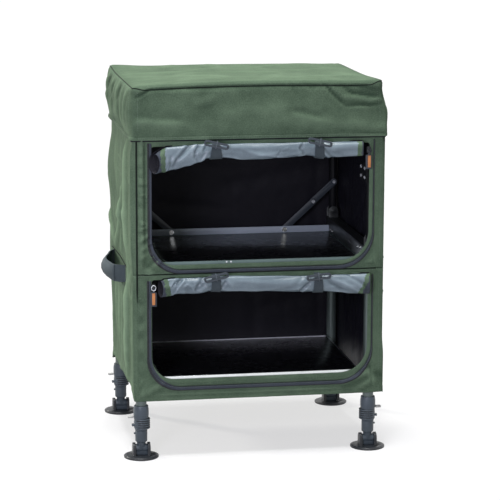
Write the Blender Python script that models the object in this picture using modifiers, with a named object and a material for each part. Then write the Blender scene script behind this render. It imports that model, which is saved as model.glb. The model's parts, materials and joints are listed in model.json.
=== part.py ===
"""Camping cupboard: a folding two-shelf frame on telescopic legs, inside a fabric cover with two
roll-up doors and a lift-off hood. Metres, +Z up, front towards -Y, origin on the ground in the middle."""

import math

import bmesh
import bpy
from mathutils import Matrix, Vector

# Gap left between two pieces that touch on the real object.
CLEARANCE = 0.0003
# Radial gap round a rivet or a pin that something turns or slides on.
PIVOT_CLEARANCE = 0.0003
# How far a piece is let into the one it is made in one with.
BITE = 0.001
# How far a cutter runs past what it cuts.
PAST = 0.010

# Spacing of the four leg axes.
LEG_SPAN_X = 0.530
LEG_SPAN_Y = 0.406

# Feet and ankles.
DISC_DIAMETER = 0.080
DISC_HEIGHT = 0.005
DISC_STEP_WIDTH = 0.004
DISC_STEP_HEIGHT = 0.0015
DISC_BEVEL = 0.001
ANKLE_HEIGHT = 0.0205
CHEEK_RADIUS = 0.013
CHEEK_THICKNESS = 0.0065
KNUCKLE_RADIUS = 0.0095
KNUCKLE_WIDTH = 0.0266
NECK_DIAMETER = 0.020
ADAPTOR_WALL = 0.0037
ADAPTOR_LOW = 0.036
ADAPTOR_LENGTH = 0.0275
ADAPTOR_FLOOR = 0.006
ADAPTOR_TOP_BEVEL = 0.001
ADAPTOR_FOOT_BEVEL = 0.002
ADAPTOR_KNOB_BELOW_TOP = 0.008
ADAPTOR_KNOB_RADIUS = 0.0022
ADAPTOR_KNOB_LENGTH = 0.003

# Telescopic legs.
POST_DIAMETER = 0.025
POST_WALL = 0.0015
LEG_PLAY = 0.001
INNER_LEG_WALL = 0.0012
LEG_TRAVEL = 0.150
PIN_HOLES = 7
INNER_LEG_ABOVE_HOLES = 0.022
BUSH_LENGTH = 0.010

# Collars and spring pins.
# The collar's outside: height above its foot, and thickness outside the post.
COLLAR_OUTLINE = (
    (0.000, 0.0017),
    (0.008, 0.0040),
    (0.020, 0.0040),
    (0.025, 0.0032),
    (0.035, 0.0048),
    (0.047, 0.0048),
    (0.057, 0.0034),
)
COLLAR_LIP = 0.004
HOOK_HEIGHT = 0.009
HOOK_REACH = 0.004
HOOK_WIDTH = 0.009
HOOK_THICKNESS = 0.005
PIN_ABOVE_COLLAR_FOOT = 0.031
PIN_RADIUS = 0.0023
PIN_TIP_DEPTH = 0.001
PIN_TAB_LENGTH = 0.013
PIN_TAB_WIDTH = 0.009
PIN_TAB_HEIGHT = 0.005
PIN_TAB_BEVEL = 0.0015

# Shelves: height of each board's top face, and the rim round it.
BOTTOM_SHELF_HEIGHT = 0.175
MIDDLE_SHELF_HEIGHT = 0.440
BOARD_THICKNESS = 0.008
RIM_WALL = 0.004
RIM_LEDGE_WIDTH = 0.014
RIM_LEDGE_THICKNESS = 0.003
RIM_DEPTH = 0.018
ARM_BELOW_SHELF = 0.002
RIM_LIP_HEIGHT = 0.0135

# Hinge rails over the posts, and the ears that hold the upper frames.
RAIL_BELOW_SHELF = 0.010
EAR_THICKNESS = 0.0025
EAR_RADIUS = 0.012
EAR_SIDE_GAP = 0.0004
HINGE_RIVET_RADIUS = 0.003
RIVET_HEAD_RADIUS = 0.005
RIVET_HEAD_HEIGHT = 0.0012
PIVOT_ABOVE_RAIL = 0.016

# Rear bar and knee stays.
BAR_HEIGHT = 0.016
BAR_THICKNESS = 0.003
STAY_WIDTH = 0.016
STAY_THICKNESS = 0.002
STAY_RIVET_RADIUS = 0.0025
STAY_FOOT_FROM_LEG = 0.125
STAY_HEAD_ABOVE_SHELF = 0.122
# Share of the straight stay that is its lower link.
STAY_KNEE_SHARE = 0.585

# Upper side frames.
UPPER_TUBE_DIAMETER = 0.020
UPPER_TUBE_WALL = 0.0012
UPPER_BEND_RADIUS = 0.045
FOLD_GAP = 0.0005
LEG_END_BELOW_PIVOT = 0.0085
PLATE_HEIGHT = 0.040
PLATE_ABOVE_SHELF = 0.2025
PLATE_REACH = 0.056
PLATE_THICKNESS = 0.0021
PLATE_SEAT = 0.0002

# Table top and cloth.
TOTAL_HEIGHT = 0.850
TABLE_THICKNESS = 0.012
TABLE_LIP_HEIGHT = 0.008
TABLE_EDGE_BEVEL = 0.002
CLOTH = 0.002
COVER_SLACK = 0.0004
COVER_ABOVE_COLLAR = 0.012
COVER_BELOW_TABLE = 0.0037
HOOD_DEPTH = 0.119
HOOD_SLACK = 0.003
HOOD_EDGE_RADIUS = 0.009
FOLD_HEIGHT = 0.004
FOLD_PITCH = 0.145
FOLD_BELOW_HOOD = 0.075
FOLD_ROWS = 4
FOLD_COLUMNS = 20
HANDLE_SEAM_MARGIN = 0.010
FOLD_WANDER = 0.8
FOLD_WANDER_RATE = 9

# Door openings in the front panel: the bands left beside them, and their edges.
DOOR_LEFT_BAND = 0.0395
DOOR_RIGHT_BAND = 0.0235
DOOR_CORNER_RADIUS = 0.040
DOOR_TOP_RADIUS = 0.006
UPPER_DOOR_ABOVE_SHELF = 0.007
UPPER_DOOR_BELOW_HOOD = 0.015
LOWER_DOOR_ABOVE_SHELF = 0.008
LOWER_DOOR_BELOW_SHELF = 0.026

# Rolled doors: insets from the door's left and right edges, and how far each end droops.
ROLL_INSETS = {"upper": (0.001, 0.019), "lower": (0.017, -0.001)}
ROLL_DROOPS = {"upper": (0.026, 0.0), "lower": (0.009, 0.006)}
ROLL_BELOW_DOOR_TOP = {"upper": 0.014, "lower": 0.015}
DROOP_REACH = 0.110
ROLL_HALF_DEPTH = 0.011
ROLL_HALF_HEIGHT = 0.018
ROLL_STATIONS = 17
ROLL_SIDES = 12
ROLL_PINCH = 0.10
ROLL_PINCH_REACH = 0.028

# Straps, counted from the door's left and right edges, and their toggles.
STRAP_INSETS = {"left": 0.143, "right": 0.120}
STRAP_WIDTH = 0.026
STRAP_THICKNESS = 0.0015
STRAP_TAIL = 0.012
TOGGLE_LENGTH = 0.056
TOGGLE_HEIGHT = 0.011
TOGGLE_THICKNESS = 0.0045
TOGGLE_STEM_RADIUS = 0.0022
TOGGLE_HEAD_RADIUS = 0.004
TOGGLE_HEAD_HEIGHT = 0.001
TOGGLE_ABOVE_ROLL = 0.011
TOGGLE_TILTS = {
    "upper_left": -13.5,
    "upper_right": -15.5,
    "lower_left": 11.0,
    "lower_right": 14.0,
}

# Zip sliders and pull tabs.
ZIP_INSIDE_OPENING = 0.003
SLIDER_WIDTH = 0.009
SLIDER_DEPTH = 0.004
SLIDER_HEIGHT = 0.014
SLIDER_BRIDGE = 0.0034
SLIDER_BELOW_DOOR_TOP = 0.016
TAB_WIDTH = 0.014
TAB_THICKNESS = 0.002
TAB_LENGTH = 0.040
TAB_SHOULDER = 0.0065
TAB_SHOULDER_SLOPE = 0.002
TAB_PIN_RADIUS = 0.0008
TAB_EYE_WALL = 0.0009
PIN_END_INSET = 0.0005

# Side handles.
HANDLE_BELOW_SHELF = 0.040
HANDLE_CENTRE_Y = 0.036
HANDLE_SPAN = 0.198
HANDLE_REACH = 0.022
HANDLE_END = 0.025
HANDLE_RISE = 0.045
HANDLE_STEPS = 10
WEBBING_WIDTH = 0.040
WEBBING_THICKNESS = 0.0025

# Heights and places that follow from the sizes above.
LEG_X = LEG_SPAN_X / 2
LEG_Y = LEG_SPAN_Y / 2
INNER_LEG_DIAMETER = POST_DIAMETER - 2 * (POST_WALL + LEG_PLAY)
ADAPTOR_DIAMETER = INNER_LEG_DIAMETER + 2 * (CLEARANCE + ADAPTOR_WALL)
ADAPTOR_TOP = ADAPTOR_LOW + ADAPTOR_LENGTH
COLLAR_LOW = ADAPTOR_TOP + CLEARANCE
COLLAR_TOP = COLLAR_LOW + COLLAR_OUTLINE[-1][0]
COLLAR_BORE = POST_DIAMETER / 2 + CLEARANCE
COLLAR_RADIUS = COLLAR_BORE + max(wall for _, wall in COLLAR_OUTLINE)
PIN_HEIGHT = COLLAR_LOW + PIN_ABOVE_COLLAR_FOOT
POST_LOW = COLLAR_LOW + COLLAR_LIP + CLEARANCE
HOLE_PITCH = LEG_TRAVEL / (PIN_HOLES - 1)
INNER_LEG_TOP = PIN_HEIGHT + LEG_TRAVEL + INNER_LEG_ABOVE_HOLES + BUSH_LENGTH
FRAME_X = LEG_X - POST_DIAMETER / 2 - CLEARANCE
FRAME_Y = LEG_Y + POST_DIAMETER / 2
RAIL_LOW = MIDDLE_SHELF_HEIGHT - RAIL_BELOW_SHELF
POST_TOP = RAIL_LOW - CLEARANCE
EAR_INNER = UPPER_TUBE_DIAMETER / 2 + EAR_SIDE_GAP
RAIL_END_Y = LEG_Y + EAR_INNER + EAR_THICKNESS + CLEARANCE
BAR_TOP = MIDDLE_SHELF_HEIGHT + BAR_HEIGHT
STAY_FOOT_X = LEG_X - STAY_FOOT_FROM_LEG
STAY_FOOT_HEIGHT = MIDDLE_SHELF_HEIGHT + BAR_HEIGHT / 2
STAY_HEAD_HEIGHT = MIDDLE_SHELF_HEIGHT + STAY_HEAD_ABOVE_SHELF
PIVOT_HEIGHT = {
    "left": BAR_TOP + FOLD_GAP + UPPER_TUBE_DIAMETER / 2,
    "right": BAR_TOP + FOLD_GAP * 2 + UPPER_TUBE_DIAMETER * 1.5 + PLATE_THICKNESS,
}
UPPER_LEG_FRONT = LEG_Y - UPPER_TUBE_DIAMETER / 2
STAY_UPPER_BACK = UPPER_LEG_FRONT - CLEARANCE
STAY_LOWER_BACK = STAY_UPPER_BACK - STAY_THICKNESS - CLEARANCE
BAR_BACK = STAY_LOWER_BACK - STAY_THICKNESS - RIVET_HEAD_HEIGHT - 2 * CLEARANCE
BAR_FRONT = BAR_BACK - BAR_THICKNESS
SHELF_BACK = BAR_FRONT - CLEARANCE
HOOD_TOP_INSIDE = TOTAL_HEIGHT - CLOTH
TABLE_TOP = HOOD_TOP_INSIDE - CLEARANCE
TABLE_LOW = TABLE_TOP - TABLE_THICKNESS
UPPER_RAIL_HEIGHT = TABLE_LOW - FOLD_GAP - UPPER_TUBE_DIAMETER / 2
LEG_END_SWING = math.hypot(UPPER_TUBE_DIAMETER / 2, LEG_END_BELOW_PIVOT)
COVER_X = LEG_X + max(POST_DIAMETER / 2, LEG_END_SWING) + COVER_SLACK
COVER_Y = max(RAIL_END_Y, FRAME_Y) + CLEARANCE
COVER_HEM = COLLAR_TOP + COVER_ABOVE_COLLAR
COVER_TOP = TABLE_LOW - COVER_BELOW_TABLE
HOOD_HEM = TOTAL_HEIGHT - HOOD_DEPTH
TABLE_X = COVER_X - CLEARANCE
TABLE_Y = COVER_Y - CLEARANCE
TABLE_LIP_X = LEG_X + UPPER_TUBE_DIAMETER / 2 + CLEARANCE
COVER_FACE_Y = -COVER_Y - CLOTH
ROLL_BACK_Y = COVER_FACE_Y - 2 * CLEARANCE - STRAP_THICKNESS
HANDLE_HEIGHT = MIDDLE_SHELF_HEIGHT - HANDLE_BELOW_SHELF
SEAM_LOW = HANDLE_HEIGHT - WEBBING_WIDTH / 2 - HANDLE_SEAM_MARGIN
SEAM_HIGH = HANDLE_HEIGHT + WEBBING_WIDTH / 2 + HANDLE_SEAM_MARGIN
FOLD_TOP = HOOD_HEM - FOLD_BELOW_HOOD
DOOR_LEFT = -COVER_X - CLOTH + DOOR_LEFT_BAND
DOOR_RIGHT = COVER_X + CLOTH - DOOR_RIGHT_BAND
DOOR_LOW = {
    "upper": MIDDLE_SHELF_HEIGHT + UPPER_DOOR_ABOVE_SHELF,
    "lower": BOTTOM_SHELF_HEIGHT + LOWER_DOOR_ABOVE_SHELF,
}
DOOR_HIGH = {
    "upper": HOOD_HEM - UPPER_DOOR_BELOW_HOOD,
    "lower": MIDDLE_SHELF_HEIGHT - LOWER_DOOR_BELOW_SHELF,
}
STRAP_PLACES = {
    "left": DOOR_LEFT + STRAP_INSETS["left"],
    "right": DOOR_RIGHT - STRAP_INSETS["right"],
}
SIDES = {"left": -1, "right": 1}
ENDS = {"front": -1, "rear": 1}


def clear_scene():
    for obj in list(bpy.data.objects):
        bpy.data.objects.remove(obj, do_unlink=True)


clear_scene()
PARTS = bpy.data.collections.new("camping_cupboard")
CUTTERS = bpy.data.collections.new("cutters")
CUTTERS.hide_render = True
for collection in (PARTS, CUTTERS):
    bpy.context.scene.collection.children.link(collection)


def material(name, colour, roughness, metallic=0.0):
    made = bpy.data.materials.new(name)
    made.use_nodes = True
    shader = made.node_tree.nodes["Principled BSDF"]
    shader.inputs["Base Color"].default_value = (*colour, 1)
    shader.inputs["Roughness"].default_value = roughness
    shader.inputs["Metallic"].default_value = metallic
    return made


COVER_CLOTH = material("cover_cloth", (0.075, 0.115, 0.085), 0.85)
LINING_CLOTH = material("lining_cloth", (0.13, 0.16, 0.19), 0.55)
WEBBING = material("webbing", (0.03, 0.035, 0.04), 0.8)
LEG_PLASTIC = material("leg_plastic", (0.08, 0.10, 0.12), 0.5)
FOOT_PLASTIC = material("foot_plastic", (0.04, 0.045, 0.05), 0.5)
TUBE_GREY = material("tube_grey", (0.30, 0.35, 0.37), 0.4, 0.2)
FRAME_BLACK = material("frame_black", (0.012, 0.013, 0.015), 0.4)
STAY_GREY = material("stay_grey", (0.05, 0.06, 0.065), 0.45, 0.3)
SHELF_BLACK = material("shelf_black", (0.008, 0.008, 0.010), 0.2)
ALUMINIUM = material("aluminium", (0.62, 0.66, 0.66), 0.35, 0.9)
PIN_WHITE = material("pin_white", (0.55, 0.62, 0.62), 0.4)
TOGGLE_PLASTIC = material("toggle_plastic", (0.035, 0.04, 0.045), 0.45)
ZIP_METAL = material("zip_metal", (0.5, 0.5, 0.5), 0.3, 0.9)
TAB_RUBBER = material("tab_rubber", (0.08, 0.085, 0.09), 0.6)


def mesh_object(name, mesh, finish, collection=PARTS):
    obj = bpy.data.objects.new(name, mesh)
    collection.objects.link(obj)
    if finish:
        obj.data.materials.append(finish)
    if collection is CUTTERS:
        obj.hide_render = True
        obj.display_type = "WIRE"
    return obj


def from_bmesh(name, bm, finish, collection=PARTS):
    bmesh.ops.recalc_face_normals(bm, faces=bm.faces)
    mesh = bpy.data.meshes.new(name)
    bm.to_mesh(mesh)
    bm.free()
    return mesh_object(name, mesh, finish, collection)


def box(name, low, high, finish=None, collection=PARTS):
    low, high = Vector(low), Vector(high)
    bm = bmesh.new()
    size = Matrix.Diagonal((*(high - low), 1))
    bmesh.ops.create_cube(bm, size=1, matrix=Matrix.Translation((low + high) / 2) @ size)
    return from_bmesh(name, bm, finish, collection)


def rod(name, start, end, radius, finish=None, collection=PARTS, sides=16):
    start, end = Vector(start), Vector(end)
    along = end - start
    turn = along.to_track_quat("Z", "Y").to_matrix().to_4x4()
    place = Matrix.Translation((start + end) / 2) @ turn
    bm = bmesh.new()
    bmesh.ops.create_cone(
        bm,
        cap_ends=True,
        segments=sides,
        radius1=radius,
        radius2=radius,
        depth=along.length,
        matrix=place,
    )
    obj = from_bmesh(name, bm, finish, collection)
    obj.data.shade_smooth()
    obj.data.set_sharp_from_angle(angle=math.radians(40))
    return obj


def boolean(target, other, operation):
    modifier = target.modifiers.new(f"{operation.lower()}_{other.name}", "BOOLEAN")
    modifier.operation = operation
    modifier.object = other


def cut(target, *others):
    for other in others:
        boolean(target, other, "DIFFERENCE")


def join(target, *others):
    for other in others:
        boolean(target, other, "UNION")


def move_origin(obj, point):
    """Puts a moving piece's origin on its joint's axis, and leaves its shape where it is."""
    shift = Vector(point) - obj.location
    obj.data.transform(Matrix.Translation(-shift))
    obj.location = point


def turned(name, profile, centre, finish, steps=20, collection=PARTS):
    """A closed profile of (radius, height) points turned about a vertical axis through the centre."""
    bm = bmesh.new()
    corners = [bm.verts.new((radius, 0, height)) for radius, height in profile]
    for first, second in zip(corners, corners[1:] + corners[:1]):
        bm.edges.new((first, second))
    mesh = bpy.data.meshes.new(name)
    bm.to_mesh(mesh)
    bm.free()
    obj = mesh_object(name, mesh, finish, collection)
    obj.location = centre
    screw = obj.modifiers.new("turn", "SCREW")
    screw.steps = screw.render_steps = steps
    screw.use_merge_vertices = True
    screw.merge_threshold = 0.00001
    screw.use_smooth_shade = True
    return obj


def arc_points(centre, radius, start, end, steps):
    angles = [math.radians(start + (end - start) * i / steps) for i in range(steps + 1)]
    return [(centre[0] + radius * math.cos(a), centre[1] + radius * math.sin(a)) for a in angles]


def circle_points(centre, radius, sides=12):
    return arc_points(centre, radius, 0, 360, sides)[:-1]


def rounded_outline(low, high, bottom_radius, top_radius, steps=8):
    """A rectangle with one radius at its two bottom corners and another at its two top corners."""
    low_x, low_z = low
    high_x, high_z = high
    b, t = bottom_radius, top_radius
    return (
        arc_points((low_x + b, low_z + b), b, 180, 270, steps)
        + arc_points((high_x - b, low_z + b), b, 270, 360, steps)
        + arc_points((high_x - t, high_z - t), t, 0, 90, 2)
        + arc_points((low_x + t, high_z - t), t, 90, 180, 2)
    )


def flat_plate(name, outlines, thickness, finish, collection=PARTS):
    """A flat curve with holes, given a thickness, as a welded mesh in its own XY plane."""
    curve = bpy.data.curves.new(name, "CURVE")
    curve.dimensions = "2D"
    curve.fill_mode = "BOTH"
    curve.extrude = thickness / 2
    for outline in outlines:
        spline = curve.splines.new("POLY")
        spline.points.add(len(outline) - 1)
        for point, (x, y) in zip(spline.points, outline):
            point.co = (x, y, 0, 1)
        spline.use_cyclic_u = True
    return welded_mesh(name, curve, finish, collection)


def welded_mesh(name, curve, finish, collection=PARTS):
    """The mesh that a curve makes, with its loose caps sewn on."""
    guide = bpy.data.objects.new(name + "_guide", curve)
    CUTTERS.objects.link(guide)
    graph = bpy.context.evaluated_depsgraph_get()
    mesh = bpy.data.meshes.new_from_object(guide.evaluated_get(graph))
    bpy.data.objects.remove(guide)
    bm = bmesh.new()
    bm.from_mesh(mesh)
    bmesh.ops.remove_doubles(bm, verts=bm.verts, dist=0.00001)
    return from_bmesh(name, bm, finish, collection)


def arched_plate(name, start, thickness, axis, radius, drop):
    """A cutter plate across the x or y axis, from start, with a round head and straight sides below it."""
    head = arc_points((0, 0), radius, 0, 180, 10)
    plate = flat_plate(name, [[(radius, -drop), *head, (-radius, -drop)]], abs(thickness), None, CUTTERS)
    plate.data.transform(Matrix.Rotation(math.radians(90), 4, "X"))
    middle = Vector(start)
    if axis == "x":
        plate.data.transform(Matrix.Rotation(math.radians(90), 4, "Z"))
        middle.x += thickness / 2
    else:
        middle.y += thickness / 2
    plate.data.transform(Matrix.Translation(middle))
    return plate


def stand_up(obj, y):
    """Turns a plate in the XY plane upright into the XZ plane, its middle at y."""
    obj.data.transform(Matrix.Translation((0, y, 0)) @ Matrix.Rotation(math.radians(90), 4, "X"))
    return obj


def bent_tube(name, points, radius, finish, collection=PARTS, resolution=4):
    curve = bpy.data.curves.new(name, "CURVE")
    curve.dimensions = "3D"
    curve.bevel_depth = radius
    curve.bevel_resolution = resolution
    curve.use_fill_caps = True
    spline = curve.splines.new("POLY")
    spline.points.add(len(points) - 1)
    for point, place in zip(spline.points, points):
        point.co = (*place, 1)
    obj = welded_mesh(name, curve, finish, collection)
    obj.data.shade_smooth()
    obj.data.set_sharp_from_angle(angle=math.radians(40))
    return obj


def foot(place, x, y):
    """A round base with two cheeks that hold the ankle's knuckle."""
    radius = DISC_DIAMETER / 2
    step = radius - DISC_STEP_WIDTH
    top = DISC_HEIGHT
    profile = [(0, top), (step, top), (step + DISC_BEVEL, top - DISC_STEP_HEIGHT)]
    profile += [(radius, top - DISC_STEP_HEIGHT), (radius, 0), (0, 0)]
    base = turned("foot_" + place, profile, (x, y, 0), FOOT_PLASTIC, steps=32)
    inner = KNUCKLE_WIDTH / 2 + CLEARANCE
    for side, sign in SIDES.items():
        start = (x + sign * inner, y, ANKLE_HEIGHT)
        drop = ANKLE_HEIGHT - top / 2
        cheek = f"cheek_{place}_{side}"
        join(base, arched_plate(cheek, start, sign * CHEEK_THICKNESS, "x", CHEEK_RADIUS, drop))
    move_origin(base, (x, y, ANKLE_HEIGHT))


def ankle_adaptor(place, x, y, outward):
    """A moulded socket on the inner leg's end, with a neck and a round knuckle below it."""
    radius = ADAPTOR_DIAMETER / 2
    socket = INNER_LEG_DIAMETER / 2 + CLEARANCE
    floor = ADAPTOR_LOW + ADAPTOR_FLOOR
    profile = [
        (socket, ADAPTOR_TOP),
        (radius - ADAPTOR_TOP_BEVEL, ADAPTOR_TOP),
        (radius, ADAPTOR_TOP - ADAPTOR_TOP_BEVEL),
        (radius, ADAPTOR_LOW + ADAPTOR_FOOT_BEVEL),
        (radius - ADAPTOR_FOOT_BEVEL, ADAPTOR_LOW),
        (NECK_DIAMETER / 2, ADAPTOR_LOW),
        (NECK_DIAMETER / 2, ANKLE_HEIGHT),
        (0, ANKLE_HEIGHT),
        (0, floor),
        (socket, floor),
    ]
    body = turned("ankle_adaptor_" + place, profile, (x, y, 0), LEG_PLASTIC)
    half = KNUCKLE_WIDTH / 2
    knuckle = rod(
        "knuckle_" + place,
        (x - half, y, ANKLE_HEIGHT),
        (x + half, y, ANKLE_HEIGHT),
        KNUCKLE_RADIUS,
        None,
        CUTTERS,
        20,
    )
    knob_height = ADAPTOR_TOP - ADAPTOR_KNOB_BELOW_TOP
    knob = rod(
        "knob_" + place,
        (x + outward * (radius - BITE), y, knob_height),
        (x + outward * (radius + ADAPTOR_KNOB_LENGTH), y, knob_height),
        ADAPTOR_KNOB_RADIUS,
        None,
        CUTTERS,
        10,
    )
    join(body, knuckle, knob)


def inner_leg(place, x, y, outward):
    """A tube with a guide bush at its top and a row of holes that the spring pin drops into."""
    outer, bore = INNER_LEG_DIAMETER / 2, INNER_LEG_DIAMETER / 2 - INNER_LEG_WALL
    guide = POST_DIAMETER / 2 - POST_WALL - CLEARANCE
    low, bush = ADAPTOR_LOW + ADAPTOR_FLOOR + CLEARANCE, INNER_LEG_TOP - BUSH_LENGTH
    profile = [(bore, INNER_LEG_TOP), (guide, INNER_LEG_TOP), (guide, bush), (outer, bush)]
    profile += [(outer, low), (bore, low)]
    tube = turned("inner_leg_" + place, profile, (x, y, 0), TUBE_GREY, steps=16)
    for i in range(PIN_HOLES):
        height = PIN_HEIGHT + i * HOLE_PITCH
        start, end = (x + outward * bore / 2, y, height), (x + outward * (outer + PAST), y, height)
        hole = PIN_RADIUS + PIVOT_CLEARANCE
        cut(tube, rod(f"pin_hole_{place}_{i}", start, end, hole, None, CUTTERS, 8))


def lower_post(place, x, y, outward):
    """A plain tube from the collar up to the hinge rail, with one hole for the spring pin."""
    outer, bore = POST_DIAMETER / 2, POST_DIAMETER / 2 - POST_WALL
    profile = [(bore, POST_TOP), (outer, POST_TOP), (outer, POST_LOW), (bore, POST_LOW)]
    tube = turned("lower_post_" + place, profile, (x, y, 0), TUBE_GREY)
    cut(tube, pin_way("post_hole_" + place, x, y, outward, outer + PAST))


def pin_way(name, x, y, outward, reach):
    """The hole that the spring pin runs in, from inside the leg out to the given radius."""
    start, end = x + outward * INNER_LEG_DIAMETER / 4, x + outward * reach
    ends = (start, y, PIN_HEIGHT), (end, y, PIN_HEIGHT)
    return rod(name, *ends, PIN_RADIUS + PIVOT_CLEARANCE, None, CUTTERS, 12)


def leg_collar(place, x, y, outward):
    """A moulded collar on the post's lower end; its lip guides the inner leg."""
    bore, lip_bore = COLLAR_BORE, INNER_LEG_DIAMETER / 2 + CLEARANCE
    lip = COLLAR_LOW + COLLAR_LIP
    outside = [(bore + wall, COLLAR_LOW + height) for height, wall in reversed(COLLAR_OUTLINE)]
    profile = [(bore, COLLAR_TOP), *outside, (lip_bore, COLLAR_LOW), (lip_bore, lip), (bore, lip)]
    body = turned("leg_collar_" + place, profile, (x, y, 0), LEG_PLASTIC)
    near, far = x + outward * (bore + BITE), x + outward * (COLLAR_RADIUS + HOOK_REACH)
    hook_low = COLLAR_LOW + HOOK_HEIGHT
    low = (min(near, far), y - HOOK_WIDTH / 2, hook_low)
    high = (max(near, far), y + HOOK_WIDTH / 2, hook_low + HOOK_THICKNESS)
    join(body, box("hook_" + place, low, high, None, CUTTERS))
    cut(body, pin_way("collar_hole_" + place, x, y, outward, COLLAR_RADIUS + PAST))


def lock_pin(place, x, y, outward):
    """A sprung pin through collar and post into the inner leg, with a flat tab to pull it by."""
    tip = x + outward * (INNER_LEG_DIAMETER / 2 - PIN_TIP_DEPTH)
    root = x + outward * (COLLAR_RADIUS + CLEARANCE)
    end = root + outward * PIN_TAB_LENGTH
    ends = (tip, y, PIN_HEIGHT), (root + outward * 2 * BITE, y, PIN_HEIGHT)
    pin = rod("lock_pin_" + place, *ends, PIN_RADIUS, PIN_WHITE)
    low = (min(root, end), y - PIN_TAB_WIDTH / 2, PIN_HEIGHT - PIN_TAB_HEIGHT / 2)
    high = (max(root, end), y + PIN_TAB_WIDTH / 2, PIN_HEIGHT + PIN_TAB_HEIGHT / 2)
    tab = box("pin_tab_" + place, low, high, None, CUTTERS)
    soften = tab.modifiers.new("soften", "BEVEL")
    soften.width = PIN_TAB_BEVEL
    soften.segments = 2
    join(pin, tab)
    move_origin(pin, (tip, y, PIN_HEIGHT))


def legs():
    for end, end_sign in ENDS.items():
        for side, side_sign in SIDES.items():
            place = f"{end}_{side}"
            x, y = side_sign * LEG_X, end_sign * LEG_Y
            foot(place, x, y)
            ankle_adaptor(place, x, y, side_sign)
            inner_leg(place, x, y, side_sign)
            lower_post(place, x, y, side_sign)
            leg_collar(place, x, y, side_sign)
            lock_pin(place, x, y, side_sign)


def shelf(name, height):
    """A board that drops into a rim with a ledge under it and a raised lip along the front."""
    front, back = -FRAME_Y, SHELF_BACK
    low_z = height - RIM_DEPTH
    rim = box(name + "_rim", (-FRAME_X, front, low_z), (FRAME_X, back, height), ALUMINIUM)
    pocket_floor = height - BOARD_THICKNESS - CLEARANCE
    wall, ledge = RIM_WALL, RIM_WALL + RIM_LEDGE_WIDTH
    above, below = height + PAST, low_z - PAST
    ledge_low = pocket_floor - RIM_LEDGE_THICKNESS
    pocket = box(
        name + "_pocket",
        (-FRAME_X + wall, front + wall, pocket_floor),
        (FRAME_X - wall, back - wall, above),
        None,
        CUTTERS,
    )
    through = box(
        name + "_through",
        (-FRAME_X + ledge, front + ledge, below),
        (FRAME_X - ledge, back - ledge, above),
        None,
        CUTTERS,
    )
    under = box(
        name + "_under",
        (-FRAME_X + wall, front + wall, below),
        (FRAME_X - wall, back - wall, ledge_low),
        None,
        CUTTERS,
    )
    lip = box(
        name + "_lip",
        (-FRAME_X, front, height - RIM_WALL),
        (FRAME_X, front + wall - CLEARANCE, height + RIM_LIP_HEIGHT),
        None,
        CUTTERS,
    )
    cut(rim, pocket, through, under)
    join(rim, lip)
    gap = wall + CLEARANCE
    box(
        name + "_board",
        (-FRAME_X + gap, front + gap, height - BOARD_THICKNESS),
        (FRAME_X - gap, back - gap, height),
        SHELF_BLACK,
    )
    return rim


def shelf_arms(rim):
    """Short arms that run back from the bottom rim's sides to the rear posts."""
    low, high = BOTTOM_SHELF_HEIGHT - RIM_DEPTH, BOTTOM_SHELF_HEIGHT - ARM_BELOW_SHELF
    for side, sign in SIDES.items():
        outer, inner = sign * FRAME_X, sign * (FRAME_X - RIM_WALL)
        near, far = (min(outer, inner), SHELF_BACK - RIM_WALL / 2, low), (max(outer, inner), FRAME_Y, high)
        join(rim, box("shelf_arm_" + side, near, far, None, CUTTERS))


def rivet(name, x, start_y, end_y, z, radius):
    """A short cutter cylinder along y: a rivet's shaft, head or washer, or its hole."""
    return rod(name, (x, start_y, z), (x, end_y, z), radius, None, CUTTERS, 12)


def hinge_rail(side):
    """A rail over two posts, with a pair of ears at each end and a rivet through each pair."""
    sign = SIDES[side]
    pivot = PIVOT_HEIGHT[side]
    inner, outer = sign * (LEG_X - POST_DIAMETER / 2), sign * (LEG_X + POST_DIAMETER / 2)
    low = (min(inner, outer), -RAIL_END_Y, RAIL_LOW)
    high = (max(inner, outer), RAIL_END_Y, pivot - PIVOT_ABOVE_RAIL)
    rail = box("hinge_rail_" + side, low, high, ALUMINIUM)
    x = sign * LEG_X
    for end, end_sign in ENDS.items():
        y = end_sign * LEG_Y
        for which, offset in (("near", -1), ("far", 1)):
            ear = f"ear_{side}_{end}_{which}"
            start = (x, y + offset * EAR_INNER, pivot)
            drop = PIVOT_ABOVE_RAIL + 4 * BITE
            join(rail, arched_plate(ear, start, offset * EAR_THICKNESS, "y", EAR_RADIUS, drop))
        ear_back = EAR_INNER + EAR_THICKNESS
        outside = y + end_sign * (ear_back - CLEARANCE)
        inside = y - end_sign * (ear_back + RIVET_HEAD_HEIGHT)
        head_end = y - end_sign * (ear_back - CLEARANCE)
        name = f"hinge_rivet_{side}_{end}"
        shaft = rivet(name, x, outside, inside, pivot, HINGE_RIVET_RADIUS)
        join(rail, shaft, rivet(name + "_head", x, head_end, inside, pivot, RIVET_HEAD_RADIUS))


def rear_bar():
    """A flat bar standing on the back edge of the middle shelf, with the rivets of both stays."""
    low, high = (-FRAME_X, BAR_FRONT, MIDDLE_SHELF_HEIGHT), (FRAME_X, BAR_BACK, BAR_TOP)
    bar = box("rear_bar", low, high, STAY_GREY)
    for side, sign in SIDES.items():
        x, z = sign * STAY_FOOT_X, STAY_FOOT_HEIGHT
        tail = STAY_LOWER_BACK + CLEARANCE
        front = BAR_FRONT - RIVET_HEAD_HEIGHT
        end = tail + RIVET_HEAD_HEIGHT
        spacer = BAR_BACK + RIVET_HEAD_HEIGHT
        name = "stay_rivet_" + side
        shaft = rivet(name, x, front, end, z, STAY_RIVET_RADIUS)
        head = rivet(name + "_head", x, front, BAR_FRONT + BITE, z, RIVET_HEAD_RADIUS)
        washer = rivet(name + "_washer", x, BAR_BACK - BITE, spacer, z, RIVET_HEAD_RADIUS)
        join(bar, shaft, head, washer, rivet(name + "_tail", x, tail, end, z, RIVET_HEAD_RADIUS))


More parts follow.
